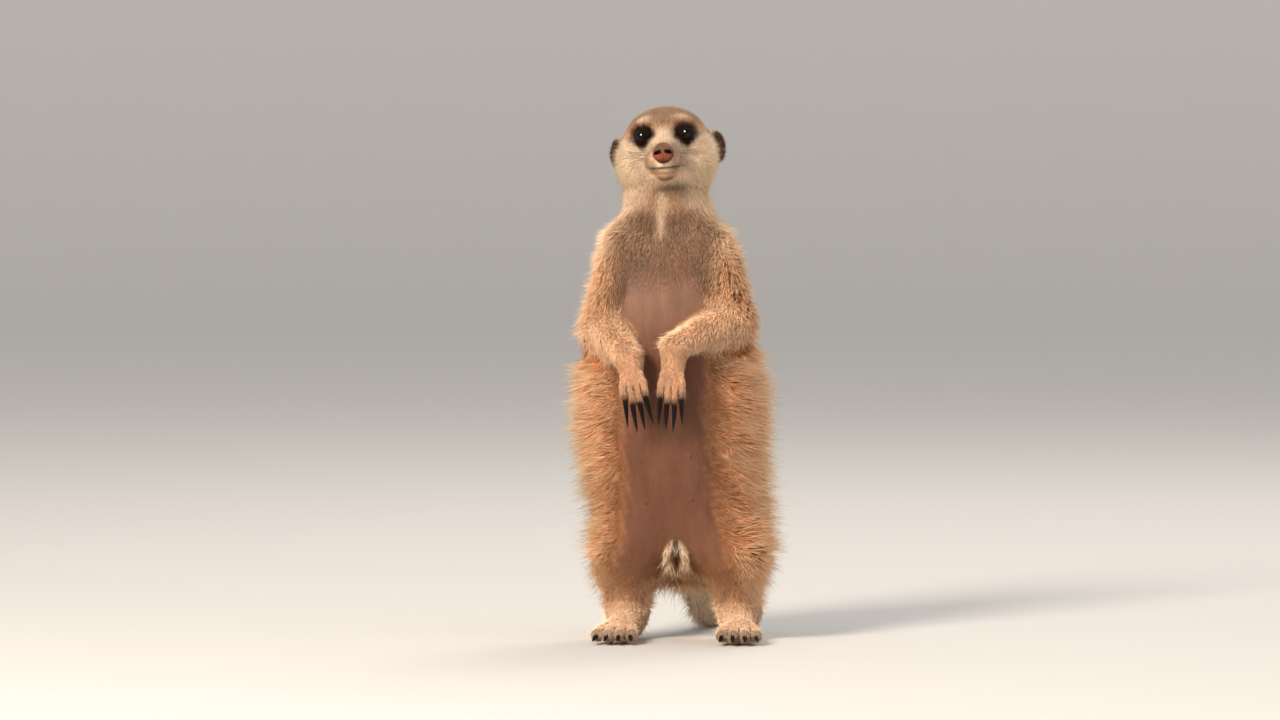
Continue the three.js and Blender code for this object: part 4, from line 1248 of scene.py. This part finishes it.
def spikes(roots, bent):
    n, t = roots["normal"], roots["lie"]
    length, lift, width = (roots[k][:, None] for k in ("length", "lift", "width"))
    across = unit(np.cross(t, n))
    base = roots["place"] - n * tuft["rooted"] * np.minimum(width, 0.5)
    low = t * np.cos(lift * 1.25) + n * np.sin(lift * 1.25)
    high = t * np.cos(lift * 0.7) + n * np.sin(lift * 0.7)
    above = unit(np.cross(across, low))
    if not bent:
        tip = base + (low + high) * length / 2
        ring = [base + across * width / 2, base - across * width / 2, base + above * width * 0.7]
        return np.stack([*ring, tip], axis=1)
    knee = base + low * length * tuft["knee"]
    tip = clumped(knee + high * length * (1 - tuft["knee"]))
    points = []
    for centre, size in ((base, 1.0), (knee, tuft["kneeSize"])):
        points += [centre + across * width * size / 2, centre - across * width * size / 2]
        points += [centre + above * width * size * 0.7]
    return np.stack([*points, tip], axis=1)


def withinReach(spots):
    base = spots[:, :1]  # a hair too long for the part's box is shorter, and none goes under the floor
    out = np.abs(spots[:, -1:, 0:1]) - np.abs(base[..., 0:1])
    left = tuft["reach"] - np.abs(base[..., 0:1])
    spots = base + (spots - base) * np.clip(left / np.maximum(out, 0.1), 0.3, 1)
    spots[..., 2] = np.maximum(spots[..., 2], 0.1)
    return spots


def clumped(tips):
    seeds = np.arange(0, len(tips), tuft["seedEvery"])
    tree = KDTree(len(seeds))
    for i, p in enumerate(tips[seeds].tolist()):
        tree.insert(p, i)
    tree.balance()
    nearest = seeds[[tree.find(p)[1] for p in tips.tolist()]]
    pull = tips[nearest] - tips
    reach = np.linalg.norm(pull, axis=1, keepdims=True)
    return tips + pull * tuft["clump"] * (reach < tuft["clumpReach"])


# A tuft's faces, and how far along it and how far round it each of its points is
plainForm = (np.array([(0, 1, 3), (1, 2, 3), (2, 0, 3), (2, 1, 0)]),
             np.array([0, 0, 0, 1.0]),
             np.array([0, 0.5, 1, 0.5]))
bentForm = (np.array([(2, 1, 0), (0, 1, 4), (0, 4, 3), (1, 2, 5), (1, 5, 4), (2, 0, 3), (2, 3, 5),
                      (3, 4, 6), (4, 5, 6), (5, 3, 6)]),
            np.array([0, 0, 0, 0.45, 0.45, 0.45, 1.0]),
            np.array([0, 0.5, 1, 0, 0.5, 1, 0.5]))


def tuftMesh(name, groups):
    points, faces, places, marks, start = [], [], [], {}, 0
    for roots, bent in groups:
        if not len(roots["place"]):
            continue
        spots = withinReach(spikes(roots, bent))
        count, size, _ = spots.shape
        template, along, around = bentForm if bent else plainForm
        corners = template[None] + (np.arange(count) * size)[:, None, None]
        offsets = (np.stack([around, along], axis=1) - 0.5) * unwrap["patch"]
        spread = placesOnUnwrap(roots["place"])[:, None] + offsets[None]
        points.append(spots.reshape(-1, 3))
        faces.append(corners.reshape(-1, 3) + start)
        places.append(spread.reshape(-1, 2)[corners.ravel()])
        start += count * size
        for key in (*markings, "chance", "frost"):
            marks.setdefault(key, []).append(np.repeat(roots[key], size))
        marks.setdefault("along", []).append(np.tile(along, count))
    points, faces = np.concatenate(points), np.concatenate(faces)
    mesh = bpy.data.meshes.new(name)
    mesh.vertices.add(len(points))
    mesh.vertices.foreach_set("co", (points * mm).astype(np.float32).ravel())
    mesh.loops.add(faces.size)
    mesh.loops.foreach_set("vertex_index", faces.astype(np.int32).ravel())
    mesh.polygons.add(len(faces))
    mesh.polygons.foreach_set("loop_start", np.arange(0, faces.size, 3, dtype=np.int32))
    mesh.polygons.foreach_set("use_smooth", np.ones(len(faces), bool))
    mesh.update(calc_edges=True)
    layer = mesh.uv_layers.new(name="OFBake")
    layer.data.foreach_set("uv", np.clip(np.concatenate(places), 0, 1).astype(np.float32).ravel())
    setMarks(mesh, {key: np.concatenate(value) for key, value in marks.items()})
    mesh.materials.append(coatFinish)
    return mesh


# Each coat piece: the nodes that its tufts stand on, whether it is split down the middle, and its slot
coatPieces = {
    "head_coat": (("head", "lower_jaw"), True, "face_coat"),
    "ear_coat": (("ear_left", "ear_right"), False, "ear_coat"),
    "neck_coat": (("neck",), False, "coat"),
    "chest_coat": (("chest",), True, "coat"),
    "belly_coat": (("belly",), True, "coat"),
    "rump_coat": (("rump",), True, "coat"),
    "arm_coat_left": (("upper_arm_left", "forearm_left"), False, "coat"),
    "arm_coat_right": (("upper_arm_right", "forearm_right"), False, "coat"),
    "hand_coat": (("hand_left", "hand_right"), False, "paw_coat"),
    "leg_coat_left": (("thigh_left", "shank_left"), False, "coat"),
    "leg_coat_right": (("thigh_right", "shank_right"), False, "coat"),
    "foot_coat": (("foot_left", "foot_right"), False, "paw_coat"),
    "tail_coat": (("tail_base", "tail_middle"), False, "coat"),
    "tail_tip_coat": (("tail_tip",), False, "tail_tip_coat"),
}


def growCoat():
    roots = grownTufts()
    roots["frost"] = frostOf(roots)
    isLeft, bent = offSpine(roots["place"]) > 0, roots["bent"]
    total = 0
    for name, (nodes, split, slot) in coatPieces.items():
        here = np.isin(roots["node"], nodes)
        parts = {f"{name}_left": here & isLeft, f"{name}_right": here & ~isLeft} if split else {name: here}
        for partName, chosen in parts.items():
            groups = []
            for kind, bends in ((~bent, False), (bent, True)):
                groups.append(({key: value[chosen & kind] for key, value in roots.items()}, bends))
            mesh = tuftMesh(partName, groups)
            placed(partName, mesh)
            total += len(mesh.polygons)
            print(partName, len(mesh.polygons), "faces")
    print("the coat is grown:", total, "faces")


growCoat()


# A mesh made from rings of points: ring by ring, closed at both ends

def ringedMesh(name, rings, marks, material=None):
    count, around, _ = rings.shape
    points = rings.reshape(-1, 3)
    i, k = np.meshgrid(np.arange(count - 1), np.arange(around), indexing="ij")
    a, b = i * around + k, i * around + (k + 1) % around
    faces = np.stack([a, b, b + around, a + around], axis=-1).reshape(-1, 4).tolist()
    faces += [list(range(around))[::-1], list(range((count - 1) * around, count * around))]
    mesh = bpy.data.meshes.new(name)
    mesh.from_pydata((points * mm).tolist(), [], faces)
    shape = bmesh.new()
    shape.from_mesh(mesh)
    bmesh.ops.recalc_face_normals(shape, faces=shape.faces)
    shape.to_mesh(mesh)
    shape.free()
    mesh.polygons.foreach_set("use_smooth", [True] * len(mesh.polygons))
    setMarks(mesh, {key: np.asarray(value).reshape(-1) for key, value in marks.items()})
    if material:
        mesh.materials.append(material)
    return mesh


def joinedMesh(name, parts, material):
    shape = bmesh.new()
    for part in parts:
        shape.from_mesh(part)
        bpy.data.meshes.remove(part)
    joined = bpy.data.meshes.new(name)
    shape.to_mesh(joined)
    shape.free()
    joined.materials.append(material)
    return joined


# Eyes: a ball with the clear bulge of the cornea, dark brown round a black pupil

eyeForm = dict(rings=44, around=56, cornea=0.72, bulge=0.35, pupil=1.7, iris=3.1, irisShade="#180b06",
               streakShade="#0f0705", pupilShade="#050404", whiteShade="#0b0706",
               roughness=0.03, specular=0.3, bend=1.36)


def eyeMaterial():
    material, tree, shader = newMaterial("eye", eyeForm)
    ring = attribute(tree, "ring")
    streaks = spreadBetween(tree, noise(tree, 900, 4), 0.3, 0.7, 0.0, 0.6)
    iris = blended(tree, linear(eyeForm["irisShade"]), linear(eyeForm["streakShade"]), streaks)
    rim = spreadBetween(tree, ring, eyeForm["pupil"] - 0.1, eyeForm["pupil"] + 0.15)
    colour = blended(tree, linear(eyeForm["pupilShade"]), iris, rim)
    edge = spreadBetween(tree, ring, eyeForm["iris"] - 0.7, eyeForm["iris"])
    colourBy(tree, shader, blended(tree, colour, linear(eyeForm["whiteShade"]), edge))
    shader.inputs["IOR"].default_value = eyeForm["bend"]
    return material


def addEyes():
    material = eyeMaterial()
    angles = np.linspace(0.02, math.pi - 0.02, eyeForm["rings"])[:, None]
    turns = np.linspace(0, 2 * math.pi, eyeForm["around"], endpoint=False)[None]
    for side in sides:
        across, above, gaze = eyeAxes(side)
        radius = eyeRadius + eyeForm["bulge"] * smooth(eyeForm["cornea"], 0, angles)
        ways = np.cos(angles)[..., None] * gaze + np.sin(angles)[..., None] * (
            np.cos(turns)[..., None] * across + np.sin(turns)[..., None] * above)
        ring = np.where(angles < math.pi / 2, radius * np.sin(angles), 9) * np.ones_like(turns)
        rings = eyeCentres[side] + ways * radius[..., None]
        mesh = ringedMesh(f"eyeball_{side}", rings, dict(ring=ring), material)
        seenByCatch.objects.link(placed(f"eyeball_{side}", mesh, (f"eye_{side}",)))
    print("the eyes are in")


# The nose pad: a rounded leather pad with two nostrils and a cleft

noseForm = dict(wide=5.75, high=5.6, deep=4.6, drop=0.3, rings=90, around=140, squareness=2.5,
                hole=dict(out=2.7, up=0.8, wide=1.6, high=0.95, depth=2.2, tilt=-16),
                # the rim colour is painted shade on the pad's sides and underside
                topShade="#5c4438", frontShade="#86432f", blotchShade="#5a291d", sideAndUnderShadow="#30170f",
                holeShade="#120a08", roughness=0.5, specular=0.3, coat=0.1, coatRoughness=0.35,
                pebbles=2300, bump=0.35, bumpDepth=0.0002,
                furFrom=1.9, fur=dict(count=5200, length=1.25, lift=14, width=0.17))


def nosePoints():
    form, hole = noseForm, noseForm["hole"]
    tilt = np.linspace(0.01, math.pi * 0.86, form["rings"])[:, None]
    turn = np.linspace(0, 2 * math.pi, form["around"], endpoint=False)[None]
    u, v, w = np.sin(tilt) * np.cos(turn), np.sin(tilt) * np.sin(turn), np.cos(tilt) * np.ones_like(turn)
    power = form["squareness"]
    scale = (np.abs(u) ** power + np.abs(v) ** power + np.abs(w) ** power) ** (-1 / power)
    u, v, w = u * scale * form["wide"], v * scale * form["high"], w * scale * form["deep"]
    u = u * (1 - 0.22 * smooth(0.5, form["high"], v) - 0.24 * smooth(-1.0, -form["high"], v))
    w = w - 0.09 * np.maximum(v - 0.8, 0) ** 1.6
    angle = math.radians(hole["tilt"])
    side = np.abs(u)
    x = (side - hole["out"]) * math.cos(angle) + (v - hole["up"]) * math.sin(angle)
    y = (v - hole["up"]) * math.cos(angle) - (side - hole["out"]) * math.sin(angle)
    inside = np.exp(-(x / hole["wide"]) ** 4 - (y / hole["high"]) ** 4)
    comma = bell(x - 2.0, 1.3) * bell(y + 0.35, 0.45) * 0.7
    rim = bell(np.hypot(x / hole["wide"], y / hole["high"]) - 1.55, 0.35)
    cleft = bell(u, 0.3) * smooth(0.4, -1.2, v)
    ahead = smooth(-0.5, 1.5, w)
    ridge = bell(v - hole["up"] - 1.7, 0.7) * 0.25
    w = w + (-hole["depth"] * (inside + comma) + 0.3 * rim - 0.35 * cleft + ridge) * ahead
    points = noseMiddle - faceWays[1] * form["drop"] + np.stack([u, v, w], axis=-1) @ faceWays
    marks = dict(hole=np.clip(inside * 1.5 + comma + 0.3 * cleft, 0, 1) * ahead, top=smooth(1.0, 2.6, v),
                 # rim: painted shade where the pad turns away at its sides, and on its underside
                 rim=np.clip(smooth(3.6, 1.2, w) + 0.8 * smooth(-1.6, -4.6, v), 0, 0.9))
    return points, marks


def noseMaterial():
    material, tree, shader = newMaterial("nose", noseForm)
    blotches = spreadBetween(tree, noise(tree, 420, 3), 0.35, 0.65, 0.0, 0.5)
    colour = blended(tree, linear(noseForm["frontShade"]), linear(noseForm["blotchShade"]), blotches)
    for name, shade in (("rim", "sideAndUnderShadow"), ("top", "topShade"), ("hole", "holeShade")):
        colour = blended(tree, colour, linear(noseForm[shade]), attribute(tree, name))
    colourBy(tree, shader, colour)
    shader.inputs["Coat Weight"].default_value = noseForm["coat"]
    shader.inputs["Coat Roughness"].default_value = noseForm["coatRoughness"]
    pebbles = tree.nodes.new("ShaderNodeTexVoronoi")
    place = tree.nodes.new("ShaderNodeTexCoord")
    pebbles.inputs["Scale"].default_value = noseForm["pebbles"]
    tree.links.new(place.outputs["Object"], pebbles.inputs["Vector"])
    bumped(tree, shader, pebbles.outputs["Distance"], noseForm["bump"], noseForm["bumpDepth"])
    return material


def growNoseFur(mesh):
    fur, points, corners = noseForm["fur"], pointsOf(mesh) / mm, cornersOf(mesh)
    normals = normalsOf(points, corners)
    a, b, c = (points[corners[:, k]] for k in range(3))
    middle = (points - noseMiddle) @ faceWays.T
    top = smooth(noseForm["furFrom"] - 0.7, noseForm["furFrom"] + 0.7, middle[:, 1])
    behind = smooth(0.9, -0.7, middle[:, 2])
    share = np.maximum(top, behind)[corners].min(axis=1)
    area = np.linalg.norm(np.cross(b - a, c - a), axis=1) * share
    face = random.choice(len(corners), fur["count"], p=area / area.sum())
    r1, r2 = random.random((2, len(face), 1))
    root = np.sqrt(r1)
    place = a[face] * (1 - root) + b[face] * root * (1 - r2) + c[face] * root * r2
    normal = unit(normals[corners[face]].mean(axis=1))
    lie = faceWays[1] * 0.8 - faceWays[2] * 0.7 + random.normal(0, 0.2, (len(face), 3))
    lie = unit(lie - normal * (lie * normal).sum(axis=1, keepdims=True))
    many = np.ones(len(face))
    behind = behind[corners[face, 0]]
    roots = {name: 0 * many for name in markings}
    lift = np.radians(fur["lift"] + random.normal(0, 5, len(face)))
    roots.update(place=place, normal=normal, lie=lie, lift=lift,
                 length=fur["length"] * random.uniform(0.7, 1.2, len(face)) * (1 + 0.5 * behind),
                 width=fur["width"] * many, chance=random.random(len(face)), frost=0.1 * many,
                 grizzle=mix(0.9, 0.75, behind), pale=0.2 * behind, dark=0.3 * (1 - behind))
    placed("nose_coat", tuftMesh("nose_coat", [(roots, False)]))


def addNose():
    points, marks = nosePoints()
    mesh = ringedMesh("nose_pad", points, marks, noseMaterial())
    placed("nose_pad", mesh, ("nose",))
    growNoseFur(mesh)
    print("the nose is in")


# Claws: horns bent along the line of their solids, thick at the root

clawForm = dict(rings=18, around=14, start=-0.16, wide=0.84, swell=1.12, taper=2.0, ends=(0.9, 1.0), lean=2.2,
                shade="#140b08", grainShade="#0c0706", tipShade="#2a1b15", roughness=0.45, specular=0.2,
                bump=0.3, bumpDepth=0.0003)


def clawMaterial():
    material, tree, shader = newMaterial("claw", clawForm)
    grain = noise(tree, 700, 3, (1, 1, 0.15))
    share = spreadBetween(tree, grain, 0.35, 0.65)
    colour = blended(tree, linear(clawForm["shade"]), linear(clawForm["grainShade"]), share)
    tip = spreadBetween(tree, attribute(tree, "along"), 0.75, 1.0, 0.0, 0.7)
    colourBy(tree, shader, blended(tree, colour, linear(clawForm["tipShade"]), tip))
    bumped(tree, shader, grain, clawForm["bump"], clawForm["bumpDepth"])
    return material


def clawRings(node):
    points = nodeShape(node)[0]
    root, tip, axis, radius = claws[node]
    along = (points - root) @ axis / ((tip - root) @ axis)
    bow = np.stack([np.polyval(np.polyfit(along, points[:, k], 2), (0, 0.5, 1)) for k in range(3)], axis=1)
    bow[0], bow[2] = root, tip
    chance = np.random.default_rng(int(abs(tip @ [13, 7, 5]) * 10)).random(3)
    end = mix(*clawForm["ends"], chance[0])
    bow[2] = tip + np.cross(axis, [0.0, 1.0, 0.0]) * clawForm["lean"] * (chance[1] - 0.5)
    t = np.linspace(clawForm["start"], 1, clawForm["rings"])
    line = np.stack([np.polyval(np.polyfit((0, 0.5, 1), bow[:, k], 2), t) for k in range(3)], axis=1)
    heading = unit(np.gradient(line, axis=0))
    back = unit(np.cross(heading, np.cross([0.0, 1.0, 0.0], heading)))
    side = np.cross(heading, back)
    line = line[0] + (line - line[0]) * end
    size = radius * clawForm["swell"] * (1 - np.clip(t, 0, 1) ** clawForm["taper"]) ** 0.85 + 0.05
    turn = np.linspace(0, 2 * math.pi, clawForm["around"], endpoint=False)
    turn = turn[None, :, None]
    ring = np.cos(turn) * side[:, None] * clawForm["wide"] + np.sin(turn) * back[:, None]
    return line[:, None] + ring * size[:, None, None], np.repeat(t, clawForm["around"])


def addClaws():
    material = clawMaterial()
    for name, members in clawSets:
        parts = []
        for node in members:
            rings, along = clawRings(node)
            parts.append(ringedMesh(node, rings, dict(along=along)))
        placed(name, joinedMesh(name, parts, material), members)
    print("the claws are in")


# Whiskers: long thin hairs from the sides of the muzzle, over the eyes and under the chin

whisker = dict(radius=0.065, rings=9, around=5, shade="#3b2a20", paleShade="#cdb79b", scatter=0.17,
               sag=(0, -0.12, -0.32), rooted=0.8, roughness=0.4)
whiskerPatches = dict(
    muzzle=dict(u=(6.5, 12.0), v=(-14.5, -9.0), rows=4, each=4, length=27, way=(1.0, 0.02, -0.2)),
    brow=dict(u=(9.0, 12.5), v=(8.0, 9.5), rows=1, each=2, length=9, way=(0.5, 0.75, 0.1)),
    chin=dict(u=(2.0, 6.0), v=(-27, -25), rows=1, each=2, length=6, way=(0.3, -0.8, 0.4)),
)


def whiskerMaterial():
    material, tree, shader = newMaterial("whisker", whisker)
    share = spreadBetween(tree, attribute(tree, "along"), 0.3, 0.9)
    colourBy(tree, shader, blended(tree, linear(whisker["shade"]), linear(whisker["paleShade"]), share))
    return material


def whiskerRings(start, way, length):
    t = np.linspace(0, 1, whisker["rings"])
    sag = np.array(whisker["sag"]) * length @ faceWays
    line = start + way * (t * length)[:, None] + sag * (t ** 2)[:, None]
    heading = unit(np.gradient(line, axis=0))
    side = unit(np.cross(heading, [0.1, 0.2, 1.0]))
    above = np.cross(heading, side)
    turn = np.linspace(0, 2 * math.pi, whisker["around"], endpoint=False)[None, :, None]
    size = (whisker["radius"] * (1 - 0.85 * t))[:, None, None]
    rings = line[:, None] + (np.cos(turn) * side[:, None] + np.sin(turn) * above[:, None]) * size
    return rings, np.repeat(t, whisker["around"])


def addWhiskers():
    skinTree = BVHTree.FromPolygons(skinPoints.tolist(), skinCorners.tolist())
    parts = []
    for sign in sides.values():
        for spot in whiskerPatches.values():
            for row, place in np.ndindex(spot["rows"], spot["each"]):
                shareU = (place + 0.5 + random.uniform(-0.2, 0.2)) / spot["each"]
                shareV = (row + 0.5 + random.uniform(-0.2, 0.2)) / spot["rows"]
                u, v = mix(*spot["u"], shareU) * sign, mix(*spot["v"], shareV)
                ahead = eyesMiddle + np.array([u, v, 40]) @ faceWays
                hit = skinTree.ray_cast(ahead.tolist(), (-faceWays[2]).tolist())[0]
                way = np.array(spot["way"]) * (sign, 1, 1) + random.normal(0, whisker["scatter"], 3)
                length = spot["length"] * random.uniform(0.7, 1.15) * mix(0.75, 1.1, shareU)
                start = np.array(hit) - whisker["rooted"] * faceWays[2]
                rings, along = whiskerRings(start, unit(way) @ faceWays, length)
                parts.append(ringedMesh("whisker", rings, dict(along=along)))
    placed("whiskers", joinedMesh("whiskers", parts, whiskerMaterial()))
    print("the whiskers are in")


addEyes()
addNose()
addClaws()
addWhiskers()
